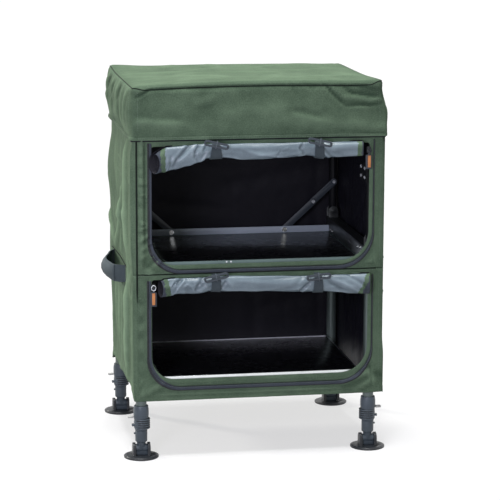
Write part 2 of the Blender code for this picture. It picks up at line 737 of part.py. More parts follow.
def link(name, start, end, hole, middle_y):
    """A flat bar with round ends between two points of the XZ plane, with a hole at its start."""
    start, end = Vector(start), Vector(end)
    along = end - start
    angle = math.degrees(math.atan2(along.y, along.x))
    radius = STAY_WIDTH / 2
    outline = arc_points(end, radius, angle - 90, angle + 90, 8)
    outline += arc_points(start, radius, angle + 90, angle + 270, 8)
    plate = flat_plate(name, [outline, circle_points(start, hole)], STAY_THICKNESS, STAY_GREY)
    return stand_up(plate, middle_y)


def knee_stay(side):
    sign = SIDES[side]
    foot_point = Vector((sign * STAY_FOOT_X, STAY_FOOT_HEIGHT))
    head_point = Vector((sign * LEG_X, STAY_HEAD_HEIGHT))
    knee = foot_point.lerp(head_point, STAY_KNEE_SHARE)
    hole = STAY_RIVET_RADIUS + PIVOT_CLEARANCE
    lower_middle = STAY_LOWER_BACK - STAY_THICKNESS / 2
    lower_link = link("stay_lower_" + side, foot_point, knee, hole, lower_middle)
    front = STAY_LOWER_BACK - STAY_THICKNESS
    head = "knee_rivet_" + side
    join(lower_link, rivet(head, knee.x, front - RIVET_HEAD_HEIGHT, front + BITE, knee.y, RIVET_HEAD_RADIUS))
    move_origin(lower_link, (foot_point.x, lower_middle, foot_point.y))
    upper_middle = STAY_UPPER_BACK - STAY_THICKNESS / 2
    upper_link = link("stay_upper_" + side, head_point, knee, hole, upper_middle)
    move_origin(upper_link, (head_point.x, upper_middle, head_point.y))


def upper_frame(side):
    """A bent tube: two legs joined by a rail at the top, with a riveted plate on the front leg."""
    sign = SIDES[side]
    x, pivot, bend = sign * LEG_X, PIVOT_HEIGHT[side], UPPER_BEND_RADIUS
    low, top = pivot - LEG_END_BELOW_PIVOT, UPPER_RAIL_HEIGHT
    front_bend = arc_points((-LEG_Y + bend, top - bend), bend, 180, 90, 6)
    rear_bend = arc_points((LEG_Y - bend, top - bend), bend, 90, 0, 6)
    route = [(-LEG_Y, low), *front_bend, *rear_bend, (LEG_Y, low)]
    radius = UPPER_TUBE_DIAMETER / 2
    tube = bent_tube("upper_frame_" + side, [(x, y, z) for y, z in route], radius, FRAME_BLACK)
    route[0], route[-1] = (-LEG_Y, low - UPPER_TUBE_WALL), (LEG_Y, low - UPPER_TUBE_WALL)
    bore_route = [(x, y, z) for y, z in route]
    cut(tube, bent_tube(f"upper_bore_{side}", bore_route, radius - UPPER_TUBE_WALL, None, CUTTERS, 2))
    for end, end_sign in ENDS.items():
        front, back = end_sign * LEG_Y - UPPER_TUBE_DIAMETER, end_sign * LEG_Y + UPPER_TUBE_DIAMETER
        hole = HINGE_RIVET_RADIUS + PIVOT_CLEARANCE
        cut(tube, rivet(f"pivot_hole_{side}_{end}", x, front, back, pivot, hole))
    inner, back = x - sign * (radius + PLATE_THICKNESS), x - sign * (radius - PLATE_SEAT)
    plate_middle, half = MIDDLE_SHELF_HEIGHT + PLATE_ABOVE_SHELF, PLATE_HEIGHT / 2
    plate_low = (min(inner, back), -LEG_Y - radius + BITE, plate_middle - half)
    plate_high = (max(inner, back), -LEG_Y + PLATE_REACH, plate_middle + half)
    plate = box("rivet_plate_" + side, plate_low, plate_high, None, CUTTERS)
    stud_root, stud_end = UPPER_LEG_FRONT + 4 * BITE, STAY_UPPER_BACK - STAY_THICKNESS
    stud = rivet("stay_stud_" + side, x, stud_root, stud_end, STAY_HEAD_HEIGHT, STAY_RIVET_RADIUS)
    join(tube, plate, stud)
    move_origin(tube, (x, 0, pivot))


def table_top():
    """A board that rests on both upper rails, its turned-down sides outside them."""
    board = box("table_top", (-TABLE_X, -TABLE_Y, TABLE_LOW), (TABLE_X, TABLE_Y, TABLE_TOP), SHELF_BLACK)
    edge = board.modifiers.new("edge", "BEVEL")
    edge.width = TABLE_EDGE_BEVEL
    edge.segments = 1
    for side, sign in SIDES.items():
        outer, inner = sign * TABLE_X, sign * TABLE_LIP_X
        low = (min(outer, inner), -TABLE_Y, TABLE_LOW - TABLE_LIP_HEIGHT)
        high = (max(outer, inner), TABLE_Y, TABLE_LOW + TABLE_EDGE_BEVEL)
        join(board, box("table_lip_" + side, low, high, None, CUTTERS))


def hood():
    """A cap of cloth, open below, whose skirt hangs over the top of the cover."""
    inside_x, inside_y = COVER_X + CLOTH + HOOD_SLACK, COVER_Y + CLOTH + HOOD_SLACK
    shell = box(
        "hood",
        (-inside_x - CLOTH, -inside_y - CLOTH, HOOD_HEM),
        (inside_x + CLOTH, inside_y + CLOTH, TOTAL_HEIGHT),
        COVER_CLOTH,
    )
    bm = bmesh.new()
    bm.from_mesh(shell.data)
    lowest = min(bm.faces, key=lambda face: face.calc_center_median().z)
    bmesh.ops.delete(bm, geom=[lowest], context="FACES_ONLY")
    corners = [edge for edge in bm.edges if not edge.is_boundary]
    bmesh.ops.bevel(bm, geom=corners, offset=HOOD_EDGE_RADIUS, segments=3, profile=0.5, affect="EDGES")
    bm.to_mesh(shell.data)
    bm.free()
    wall = shell.modifiers.new("cloth", "SOLIDIFY")
    wall.thickness = CLOTH
    wall.offset = -1
    wall.use_even_offset = True


def swell(height):
    """How far the cloth may stand out: nothing at the hem, at the seam with the handles or under the hood."""
    if height < SEAM_LOW:
        share = (height - COVER_HEM) / (SEAM_LOW - COVER_HEM)
    else:
        share = (height - SEAM_HIGH) / (FOLD_TOP - SEAM_HIGH)
    return math.sin(math.pi * share) if 0 < share < 1 else 0.0


def row_heights():
    """Rows of a hanging panel, with exact ones where the folds start and end."""
    heights = []
    for low, high in ((COVER_HEM, SEAM_LOW), (SEAM_HIGH, FOLD_TOP)):
        heights += [low + (high - low) * i / FOLD_ROWS for i in range(FOLD_ROWS + 1)]
    return [*heights, COVER_TOP]


def folded_panel(name, half_width, columns, outward, finish):
    """A hanging panel, in its own XZ plane, with soft upright folds that die out at its edges."""
    bm = bmesh.new()
    heights = row_heights()
    rows = len(heights) - 1
    bmesh.ops.create_grid(bm, x_segments=columns, y_segments=rows, size=0.5)
    for vert in bm.verts:
        across, up = vert.co.x * 2, heights[round((vert.co.y + 0.5) * rows)]
        phase = 2 * math.pi * across * half_width / FOLD_PITCH
        fold = 0.5 - 0.5 * math.cos(phase + FOLD_WANDER * math.sin(up * FOLD_WANDER_RATE))
        edge = 1 - abs(across) ** 4
        vert.co = (across * half_width, outward * FOLD_HEIGHT * fold * edge * swell(up), up)
    panel = from_bmesh(name, bm, finish)
    cloth = panel.modifiers.new("cloth", "SOLIDIFY")
    cloth.thickness = CLOTH
    cloth.offset = 0
    cloth.use_even_offset = True
    return panel


def cover():
    """The four panels of the cover, each a hair from the next where they are sewn together."""
    middle = CLOTH / 2
    side_half = COVER_Y - CLEARANCE
    for side, sign in SIDES.items():
        panel = folded_panel("cover_" + side, side_half, FOLD_COLUMNS, -1, COVER_CLOTH)
        turn = Matrix.Rotation(math.radians(90 * sign), 4, "Z")
        panel.data.transform(Matrix.Translation((sign * (COVER_X + middle), 0, 0)) @ turn)
    back = folded_panel("cover_back", COVER_X + CLOTH, FOLD_COLUMNS, 1, COVER_CLOTH)
    back.data.transform(Matrix.Translation((0, COVER_Y + middle, 0)))
    outline = [
        (-COVER_X - CLOTH, COVER_HEM),
        (COVER_X + CLOTH, COVER_HEM),
        (COVER_X + CLOTH, COVER_TOP),
        (-COVER_X - CLOTH, COVER_TOP),
    ]
    openings = []
    for level, low in DOOR_LOW.items():
        corners = (DOOR_LEFT, low), (DOOR_RIGHT, DOOR_HIGH[level])
        openings.append(rounded_outline(*corners, DOOR_CORNER_RADIUS, DOOR_TOP_RADIUS))
    stand_up(flat_plate("cover_front", [outline, *openings], CLOTH, COVER_CLOTH), -COVER_Y - middle)


def smooth(value):
    value = min(max(value, 0), 1)
    return value * value * (3 - 2 * value)


def roll_ends(level):
    left, right = ROLL_INSETS[level]
    return DOOR_LEFT + left, DOOR_RIGHT - right


def roll_height(level):
    return DOOR_HIGH[level] - ROLL_BELOW_DOOR_TOP[level]


def roll_section(level, x):
    """Height of the roll's middle and its half height and half depth at x."""
    low, high = roll_ends(level)
    left, right = smooth((low + DROOP_REACH - x) / DROOP_REACH), smooth((x - high + DROOP_REACH) / DROOP_REACH)
    droop = ROLL_DROOPS[level][0] * left + ROLL_DROOPS[level][1] * right
    pinch = max(math.exp(-(((x - place) / ROLL_PINCH_REACH) ** 2)) for place in STRAP_PLACES.values())
    half_height = ROLL_HALF_HEIGHT * (1 - ROLL_PINCH * pinch) + droop / 2
    half_depth = ROLL_HALF_DEPTH * (1 - ROLL_PINCH * pinch)
    return roll_height(level) - droop / 2, half_height, half_depth


def roll_point(level, x, angle):
    middle, half_height, half_depth = roll_section(level, x)
    deep = ROLL_BACK_Y - half_depth
    return x, deep + half_depth * math.cos(angle), middle + half_height * math.sin(angle)


def roll_stations(level):
    """Even steps along the roll, with exact ones under the middle and the edges of each strap."""
    exact = [place + STRAP_WIDTH * share for place in STRAP_PLACES.values() for share in (-0.5, 0, 0.5)]
    low, high = roll_ends(level)
    step = (high - low) / (ROLL_STATIONS - 1)
    even = [low + step * i for i in range(ROLL_STATIONS)]
    return sorted(exact + [x for x in even if min(abs(x - other) for other in exact) > step / 4])


def door_roll(level):
    """A rolled-up door: a soft tube, drawn in at its straps and hanging lower at its loose end."""
    bm = bmesh.new()
    angles = [2 * math.pi * j / ROLL_SIDES for j in range(ROLL_SIDES)]
    rings = [[bm.verts.new(roll_point(level, x, angle)) for angle in angles] for x in roll_stations(level)]
    for first, second in zip(rings, rings[1:]):
        for j in range(ROLL_SIDES):
            k = (j + 1) % ROLL_SIDES
            bm.faces.new((first[j], first[k], second[k], second[j]))
    bm.faces.new(rings[0])
    bm.faces.new(rings[-1][::-1])
    from_bmesh("door_roll_" + level, bm, LINING_CLOTH)


def strap_and_toggle(level, side):
    """A webbing band round the roll, sewn on over the door, and the toggle that swivels in front."""
    place, x = f"{level}_{side}", STRAP_PLACES[side]
    sections = [roll_section(level, x + offset) for offset in (-STRAP_WIDTH / 2, 0, STRAP_WIDTH / 2)]
    top = max(middle + half for middle, half, _ in sections) + CLEARANCE
    bottom = min(middle - half for middle, half, _ in sections) - CLEARANCE
    half_depth = max(depth for _, _, depth in sections) + CLEARANCE
    centre_y, centre_z = ROLL_BACK_Y + CLEARANCE - half_depth, (top + bottom) / 2
    half_height = (top - bottom) / 2
    loops = [
        [
            (centre_y + (half_depth + extra) * across, centre_z + (half_height + extra) * up)
            for across, up in circle_points((0, 0), 1, 28)
        ]
        for extra in (STRAP_THICKNESS, 0)
    ]
    band = flat_plate("strap_" + place, loops, STRAP_WIDTH, WEBBING)
    upright = Matrix(((0, 0, 1, 0), (1, 0, 0, 0), (0, 1, 0, 0), (0, 0, 0, 1)))
    band.data.transform(Matrix.Translation((x, 0, 0)) @ upright)
    height = roll_height(level) + TOGGLE_ABOVE_ROLL
    band_front = centre_y - half_depth - STRAP_THICKNESS
    back = band_front - CLEARANCE
    front = back - TOGGLE_THICKNESS
    head_back = front - CLEARANCE
    head_front = head_back - TOGGLE_HEAD_HEIGHT
    up = (height - centre_z) / (half_height + STRAP_THICKNESS / 2)
    root = centre_y - (half_depth + STRAP_THICKNESS / 2) * math.sqrt(1 - up * up)
    stem = rivet("toggle_stem_" + place, x, root, head_front, height, TOGGLE_STEM_RADIUS)
    head = rivet("toggle_head_" + place, x, head_back, head_front, height, TOGGLE_HEAD_RADIUS)
    tail_back = COVER_FACE_Y - CLEARANCE
    tail_low = (x - STRAP_WIDTH / 2, tail_back - STRAP_THICKNESS, centre_z)
    tail_high = (x + STRAP_WIDTH / 2, tail_back, DOOR_HIGH[level] + STRAP_TAIL)
    join(band, box("strap_tail_" + place, tail_low, tail_high, None, CUTTERS), stem, head)
    tilt = math.radians(TOGGLE_TILTS[place])
    radius = TOGGLE_HEIGHT / 2
    reach = TOGGLE_LENGTH / 2 - radius
    outline = arc_points((reach, 0), radius, -90, 90, 6) + arc_points((-reach, 0), radius, 90, 270, 6)
    eye = circle_points((0, 0), TOGGLE_STEM_RADIUS + PIVOT_CLEARANCE)
    toggle = flat_plate("toggle_" + place, [outline, eye], TOGGLE_THICKNESS, TOGGLE_PLASTIC)
    toggle.data.transform(Matrix.Rotation(tilt, 4, "Z"))
    stand_up(toggle, 0)
    toggle.location = (x, (back + front) / 2, height)


def doors():
    for level in DOOR_LOW:
        door_roll(level)
        for side in SIDES:
            strap_and_toggle(level, side)


def zip_slider(level, x):
    """A zip slider at the top of its track, and the pull tab that hangs from its bridge."""
    width, height = SLIDER_WIDTH, SLIDER_HEIGHT
    z = DOOR_HIGH[level] - SLIDER_BELOW_DOOR_TOP
    back = COVER_FACE_Y - CLEARANCE
    front = back - SLIDER_DEPTH
    low, high = (x - width / 2, front, z - height / 2), (x + width / 2, back, z + height / 2)
    body = box("zip_slider_" + level, low, high, ZIP_METAL)
    eye = TAB_PIN_RADIUS + PIVOT_CLEARANCE
    pin_y, pin_z = front - eye - TAB_EYE_WALL - CLEARANCE, z - height / 2 + SLIDER_BRIDGE
    for side, side_sign in SIDES.items():
        outer, inner = x + side_sign * width / 2, x + side_sign * width / 4
        low = (min(outer, inner), front - SLIDER_BRIDGE, pin_z - SLIDER_BRIDGE / 2)
        high = (max(outer, inner), front + BITE, pin_z + SLIDER_BRIDGE)
        join(body, box(f"bridge_{level}_{side}", low, high, None, CUTTERS))
    span = width / 2 - PIN_END_INSET
    ends = (x - span, pin_y, pin_z), (x + span, pin_y, pin_z)
    join(body, rod("bridge_pin_" + level, *ends, TAB_PIN_RADIUS, None, CUTTERS, 10))
    move_origin(body, (x, (back + front) / 2, z))
    neck = width / 4 - CLEARANCE
    slope = TAB_SHOULDER + TAB_SHOULDER_SLOPE
    right_half = [(neck, 0), (neck, -TAB_SHOULDER), (TAB_WIDTH / 2, -slope), (TAB_WIDTH / 2, -TAB_LENGTH)]
    outline = right_half + [(-across, up) for across, up in reversed(right_half)]
    tab = flat_plate("pull_tab_" + level, [outline[::-1]], TAB_THICKNESS, TAB_RUBBER)
    stand_up(tab, 0)
    ring = rod("tab_eye_" + level, (-neck, 0, 0), (neck, 0, 0), eye + TAB_EYE_WALL, None, CUTTERS, 14)
    hole = rod("tab_hole_" + level, (-width, 0, 0), (width, 0, 0), eye, None, CUTTERS, 10)
    for helper in (ring, hole):
        helper.location = (x, pin_y, pin_z)
    join(tab, ring)
    cut(tab, hole)
    tab.location = (x, pin_y, pin_z)


def handle(side):
    """A webbing strap sewn flat at both ends and bowed out between them."""
    sign = SIDES[side]
    half = HANDLE_SPAN / 2
    route = [(-half - HANDLE_END, 0), (-half, 0)]
    for share in (i / HANDLE_STEPS for i in range(1, HANDLE_STEPS + 1)):
        route.append((-half + HANDLE_RISE * share, HANDLE_REACH * smooth(share)))
    route += [(-y, out) for y, out in reversed(route)]
    bm = bmesh.new()
    face = COVER_X + CLOTH + CLEARANCE
    low, high = HANDLE_HEIGHT - WEBBING_WIDTH / 2, HANDLE_HEIGHT + WEBBING_WIDTH / 2
    places = [(sign * (face + out), HANDLE_CENTRE_Y + y) for y, out in route]
    verts = [bm.verts.new((x, y, low)) for x, y in places]
    edges = [bm.edges.new(pair) for pair in zip(verts, verts[1:])]
    raised = bmesh.ops.extrude_edge_only(bm, edges=edges)["geom"]
    top = [element for element in raised if isinstance(element, bmesh.types.BMVert)]
    bmesh.ops.translate(bm, verts=top, vec=(0, 0, high - low))
    mesh = bpy.data.meshes.new("handle_" + side)
    bm.to_mesh(mesh)
    bm.free()
    strap = mesh_object("handle_" + side, mesh, WEBBING)
    web = strap.modifiers.new("web", "SOLIDIFY")
    web.thickness = WEBBING_THICKNESS
    web.offset = 1 if mesh.polygons[0].normal.x * sign > 0 else -1
    web.use_even_offset = True


def build():
    legs()
    shelf_arms(shelf("bottom", BOTTOM_SHELF_HEIGHT))
    shelf("middle", MIDDLE_SHELF_HEIGHT)
    rear_bar()
    for side in SIDES:
        hinge_rail(side)
        upper_frame(side)
        knee_stay(side)
        handle(side)
    table_top()
    hood()
    cover()
    doors()
    zip_slider("lower", DOOR_LEFT + ZIP_INSIDE_OPENING)
    zip_slider("upper", DOOR_RIGHT - ZIP_INSIDE_OPENING)


build()
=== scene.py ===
import json
import math
import random

import bmesh
import bpy
from mathutils import Matrix, Vector, noise

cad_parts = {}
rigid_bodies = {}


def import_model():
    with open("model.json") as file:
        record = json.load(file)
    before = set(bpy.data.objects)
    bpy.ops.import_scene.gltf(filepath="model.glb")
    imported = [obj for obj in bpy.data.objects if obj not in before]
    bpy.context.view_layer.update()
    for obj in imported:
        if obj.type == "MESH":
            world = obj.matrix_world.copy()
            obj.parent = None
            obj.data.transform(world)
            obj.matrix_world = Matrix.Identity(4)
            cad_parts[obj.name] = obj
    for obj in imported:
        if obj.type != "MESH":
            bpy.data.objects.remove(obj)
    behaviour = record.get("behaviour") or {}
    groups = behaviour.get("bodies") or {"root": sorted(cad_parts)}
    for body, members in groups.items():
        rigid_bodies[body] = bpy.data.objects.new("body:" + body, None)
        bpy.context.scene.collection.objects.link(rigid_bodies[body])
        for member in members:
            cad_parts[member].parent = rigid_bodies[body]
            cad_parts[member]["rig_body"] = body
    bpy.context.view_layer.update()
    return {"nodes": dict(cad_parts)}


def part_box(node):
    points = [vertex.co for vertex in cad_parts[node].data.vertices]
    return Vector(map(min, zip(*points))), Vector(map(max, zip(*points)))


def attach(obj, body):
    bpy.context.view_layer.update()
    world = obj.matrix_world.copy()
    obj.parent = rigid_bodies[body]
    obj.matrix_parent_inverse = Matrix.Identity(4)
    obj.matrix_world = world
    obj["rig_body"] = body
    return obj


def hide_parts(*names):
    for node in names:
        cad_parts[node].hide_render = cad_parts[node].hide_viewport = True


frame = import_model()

nodes = frame["nodes"]
scene = bpy.context.scene
bpy.ops.object.select_all(action="DESELECT")

# ---------------------------------------------------------------- camera
# A long lens stands five metres off, to the left of the cupboard's middle and
# a little above it, so that the front, the left side and the top all show.
turn, rise, lean = -0.175910, 0.188110, 0.003634
aim, distance = Vector((0.021922, 0, 0.434207)), 5.047139
focal_pixels, picture_pixels = 2132.2, 500
away = Vector((math.sin(turn) * math.cos(rise), -math.cos(turn) * math.cos(rise), math.sin(rise)))
lens = bpy.data.cameras.new("camera")
lens.sensor_width = 36
lens.lens = 36 * focal_pixels / picture_pixels
lens.clip_end = 200
camera = bpy.data.objects.new("camera", lens)
scene.collection.objects.link(camera)
camera.matrix_world = (
    Matrix.Translation(aim + away * distance)
    @ away.to_track_quat("Z", "Y").to_matrix().to_4x4()
    @ Matrix.Rotation(lean, 4, "Z")
)
scene.camera = camera


# ---------------------------------------------------------------- studio
# The cupboard stands on a plain white floor. One light hangs overhead, a
# second shines low from the left and a small soft box stands left of the camera.
def dye(red, green, blue):
    """A colour as it is mixed on screen, 0 to 255, as the shader wants it."""
    return (*(c / 3294.6 if c <= 10 else ((c / 255 + 0.055) / 1.055) ** 2.4 for c in (red, green, blue)), 1)


class Wire:
    """A socket of a finish. An operator on it adds the Math node that it stands for."""

    def __init__(self, tree, socket=None):
        self.tree, self.socket = tree, socket

    def node(self, kind, sockets, out=0, **settings):
        """Adds a node of that kind, with its settings first and then a value or a link for each socket."""
        made = self.tree.nodes.new("ShaderNode" + kind)
        for name, value in settings.items():
            setattr(made, name, value)
        for name, value in sockets.items():
            if isinstance(value, Wire):
                self.tree.links.new(value.socket, made.inputs[name])
            else:
                made.inputs[name].default_value = value
        return Wire(self.tree, made.outputs[out])

    def maths(self, operation, *terms):
        return self.node("Math", dict(enumerate(terms)), operation=operation)

    def __add__(self, other):
        return self.maths("ADD", self, other)

    def __sub__(self, other):
        return self.maths("SUBTRACT", self, other)

    def __rsub__(self, other):
        return self.maths("SUBTRACT", other, self)

    def __mul__(self, other):
        return self.maths("MULTIPLY", self, other)

    __radd__, __rmul__ = __add__, __mul__

    def upto(self, most):
        return self.maths("MINIMUM", self, most)

    def wave(self, pitch):
        """A ripple from -1 to 1 that comes again each pitch, in metres."""
        return self.maths("SINE", self * (2 * math.pi / pitch))

    def mix(self, share, first, second):
        return self.node("Mix", {0: share, 6: first, 7: second}, 2, data_type="RGBA")

    def looked_at(self):
        """1 where the camera or a reflection looks at the surface, 0 where it only lights the cupboard."""
        seen = self.node("LightPath", {}, "Is Camera Ray")
        for ray in ("Is Glossy Ray", "Is Transmission Ray"):
            seen = self.maths("MAXIMUM", seen, self.node("LightPath", {}, ray))
        return seen


class Finish(Wire):
    """The finish of one surface. What is the same all over it goes straight on the shader's sockets."""

    def __init__(self, name, **plain):
        self.material = bpy.data.materials.new(name)
        self.material.use_nodes = True
        super().__init__(self.material.node_tree)
        self.shader = self.tree.nodes["Principled BSDF"]
        for socket, value in plain.items():
            self.shader.inputs[socket.replace("_", " ")].default_value = value

    def feed(self, **sockets):
        for socket, wire in sockets.items():
            self.tree.links.new(wire.socket, self.shader.inputs[socket.replace("_", " ")])

    def place(self):
        return self.node("TexCoord", {}, "Object")

    def cut(self):
        """Where a point lies on the flat cloth that its piece was cut from, in metres."""
        return self.node("UVMap", {}, uv_map="cut")

    def part(self, vector, axis):
        return self.node("SeparateXYZ", {0: vector}, axis)

    def mottle(self, vector, size, detail=2.0, rough=0.5):
        """Soft random patches from 0 to 1, of about that size in metres."""
        return self.node("TexNoise", {"Vector": vector, "Scale": 1 / size, "Detail": detail, "Roughness": rough})

    def bump(self, height, depth):
        """Height from 0 to 1 stands for a relief of that depth in metres."""
        self.feed(Normal=self.node("Bump", {"Height": height, "Distance": depth}))


bpy.ops.mesh.primitive_plane_add(size=90, location=(0, 0, -0.0004))
floor = bpy.context.object
floor.name = "floor"
paper = bpy.data.materials.new("white floor")
paper.use_nodes = True
floor.data.materials.append(paper)
wire = Wire(paper.node_tree)
wire.tree.nodes.remove(wire.tree.nodes["Principled BSDF"])
seen = wire.looked_at()
matt = wire.node("BsdfDiffuse", {"Color": wire.mix(seen, (0.28, 0.28, 0.29, 1), (0.8, 0.8, 0.81, 1))})
glow = wire.node("Emission", {"Color": (1, 1, 1, 1), "Strength": 1.12})
laid = wire.node("MixShader", {0: seen * 0.55, 1: matt, 2: glow})
wire.tree.links.new(laid.socket, wire.tree.nodes["Material Output"].inputs["Surface"])

scene.world = bpy.data.worlds.new("studio")
scene.world.use_nodes = True
wire = Wire(scene.world.node_tree)
air, all_round = wire.tree.nodes["Background"], 0.17
air.inputs["Color"].default_value = (1, 1, 1, 1)
wire.tree.links.new((all_round + wire.looked_at() * (1 - all_round)).socket, air.inputs["Strength"])

for name, kind, spot, aimed, wide, power, tint in (
    ("overhead light", "SUN", (-0.15, -0.3, 3.4), 0.0, math.radians(14), 2.8, (1.0, 1.0, 1.0)),
    ("left light", "SUN", (-2.0, 1.8, 1.0), 0.0, math.radians(6), 1.5, (1.02, 1.0, 0.90)),
    ("front light", "AREA", (-1.3, -2.5, 1.0), 0.4, 0.7, 23.0, (0.98, 0.95, 1.14)),
):
    lamp = bpy.data.lights.new(name, kind)
    lamp.energy, lamp.color = power, tint
    setattr(lamp, "angle" if kind == "SUN" else "size", wide)
    holder = bpy.data.objects.new(name, lamp)
    scene.collection.objects.link(holder)
    facing = (Vector(spot) - Vector((0, 0, aimed))).to_track_quat("Z", "Y")
    holder.matrix_world = Matrix.Translation(spot) @ facing.to_matrix().to_4x4()
scene.view_settings.view_transform = "Standard"


# ---------------------------------------------------------------- feet and ankles
# Each foot is a round disc of moulded black plastic with a stepped rim, and
# tilts on a pin in the forked end of a plastic adaptor pushed on the leg.
def only(*pieces):
    """Selects these pieces and nothing else, and works on the first."""
    bpy.ops.object.select_all(action="DESELECT")
    for piece in pieces:
        piece.select_set(True)
    bpy.context.view_layer.objects.active = pieces[0]


def another(piece, name, place=None):
    """A copy with a mesh of its own, moved to that place."""
    made = bpy.data.objects.new(name, piece.data.copy())
    scene.collection.objects.link(made)
    if place:
        made.data.transform(place)
    return made


def smooth(sharp=40):
    """Shades the piece smooth, but for edges sharper than that angle in degrees."""
    bpy.ops.object.shade_smooth_by_angle(angle=math.radians(sharp))


def round_edges(piece, radius, turns, sharp):
    """Rounds each edge that is sharper than that angle in degrees."""
    bevel = piece.modifiers.new("rounding", "BEVEL")
    bevel.width, bevel.segments, bevel.limit_method, bevel.angle_limit = radius, turns, "ANGLE", math.radians(sharp)
    bpy.ops.object.modifier_apply(modifier="rounding")


def fit(piece, body, slot, *finishes):
    """The piece gets its finish and rides on that body. slot is not used."""
    for finish in finishes:
        piece.data.materials.append(finish.material)
    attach(piece, body)


def worked_copy(node, name, body, slot, finish, radius=0.0005, turns=2):
    """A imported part's own shape as one skin, with its edges rounded, stands for the part."""
    piece, sharp = another(nodes[node], name), 35
    only(piece)
    piece.data.materials.clear()
    bpy.ops.object.mode_set(mode="EDIT")
    bpy.ops.mesh.select_all(action="SELECT")
    bpy.ops.mesh.remove_doubles(threshold=0.00001)
    bpy.ops.mesh.tris_convert_to_quads(face_threshold=0.02, shape_threshold=0.3)
    bpy.ops.object.mode_set(mode="OBJECT")
    if radius:
        round_edges(piece, radius, turns, sharp)
    smooth(sharp)
    fit(piece, body, slot, finish)
    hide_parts(node)


def block(size, place=(0, 0, 0)):
    """A block of that size to be worked on, with its place in its mesh."""
    bpy.ops.mesh.primitive_cube_add(size=1, location=place)
    made = bpy.context.object
    made.scale = size
    bpy.ops.object.transform_apply(location=True, rotation=False, scale=True)
    return made


def pick(piece, test, parts="faces"):
    """In edit mode, selects the faces or edges that pass the test."""
    edit = bmesh.from_edit_mesh(piece.data)
    for part in getattr(edit, parts):
        part.select = test(part)
    bmesh.update_edit_mesh(piece.data)


def face_outwards():
    """Turns all faces of the piece outwards and leaves edit mode."""
    bpy.ops.mesh.select_all(action="SELECT")
    bpy.ops.mesh.normals_make_consistent(inside=False)
    bpy.ops.object.mode_set(mode="OBJECT")


def moulded(name, dark, light, rough):
    """Moulded plastic: an even colour with soft patches and a fine spark-eroded grain."""
    made = Finish(name, Specular_IOR_Level=0.4)
    spot = made.place()
    grain, patches = made.mottle(spot, 0.0007, 3), made.mottle(spot, 0.03, 4)
    made.feed(
        Base_Color=made.mix(patches * 0.7 + grain * 0.3, dark, light),
        Roughness=rough + 0.2 * (patches - 0.5) + 0.1 * grain,
    )
    made.bump(grain, 0.00012)
    return made


foot_plastic = moulded("black foot plastic", dye(24, 26, 29), dye(48, 52, 57), 0.34)
ankle_plastic = moulded("slate ankle plastic", dye(60, 70, 78), dye(94, 106, 114), 0.36)
HANDS = (("left", -1), ("right", 1))
corners = [
    (side, end, hand * 0.265, y)
    for side, hand in HANDS
    for end, y in (("front", -0.203), ("rear", 0.203))
]
for side, end, x, y in corners:
    at = f"{end}_{side}"
    worked_copy(f"foot_{at}", f"foot_{at}_disc", f"foot_{at}", "foot_plastic", foot_plastic, 0.0009, 3)
    worked_copy(f"ankle_adaptor_{at}", f"ankle_{at}", f"leg_{at}", "leg_plastic", ankle_plastic, 0.0007)
yoke_height, hollow = 0.0118, 0.0030
yoke = block((0.0395, 0.0200, 0.0150))
bpy.ops.object.mode_set(mode="EDIT")
pick(yoke, lambda face: face.normal.z > 0.9)
bpy.ops.mesh.inset(thickness=0.0030, depth=0.0045)
bpy.ops.mesh.select_all(action="DESELECT")
pick(yoke, lambda face: abs(face.normal.y) > 0.9)
bpy.ops.mesh.inset(thickness=0.0042, depth=0, use_individual=True)
bpy.ops.mesh.extrude_region_move()
edit = bmesh.from_edit_mesh(yoke.data)
for face in edit.faces:
    if face.select:
        for vert in face.verts:
            vert.co.y -= math.copysign(hollow, face.normal.y)
bmesh.update_edit_mesh(yoke.data)
face_outwards()
round_edges(yoke, 0.0028, 3, 40)
smooth()
for side, end, x, y in corners:
    housing = another(yoke, f"foot_yoke_{end}_{side}", Matrix.Translation((x, y, yoke_height)))
    fit(housing, f"foot_{end}_{side}", "foot_plastic", ankle_plastic)
bpy.data.objects.remove(yoke)


# ---------------------------------------------------------------- legs
# A grey inner tube with a row of pin holes slides in each painted steel
# post, and a white spring button in the tube locks it in the post's collar.
def painted(name, dark, light, rough, metal=0.0):
    """Baked paint on steel: an even colour, a faint orange-peel skin and paler handling marks."""
    made = Finish(name, Metallic=metal)
    spot = made.place()
    peel, patches = made.mottle(spot, 0.0016, 1), made.mottle(spot, 0.05, 4)
    fine = made.mottle(spot, 0.004, 5, 0.7)
    made.feed(
        Base_Color=made.mix((patches * 0.8 + fine * 0.4 - 0.1).upto(1.0), dark, light),
        Roughness=rough + 0.25 * (fine - 0.5) + 0.1 * (patches - 0.5),
    )
    made.bump(peel * 0.7 + fine * 0.3, 0.00015)
    return made


post_paint = painted("light grey post paint", dye(84, 96, 92), dye(108, 120, 118), 0.4, 0.35)
tube_paint = painted("inner tube paint", dye(96, 104, 106), dye(124, 132, 134), 0.34, 0.5)
pin_plastic = moulded("white pin plastic", dye(196, 198, 192), dye(222, 222, 216), 0.38)
for side, end, x, y in corners:
    at = f"{end}_{side}"
    worked_copy(f"inner_leg_{at}", f"inner_tube_{at}", f"leg_{at}", "tube_grey", tube_paint, 0)
    worked_copy(f"lower_post_{at}", f"post_{at}", "frame", "tube_grey", post_paint, 0)
    pin = f"lock_pin_{at}"
    worked_copy(pin, f"spring_button_{at}", nodes[pin]["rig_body"], "pin_white", pin_plastic, 0.0004)


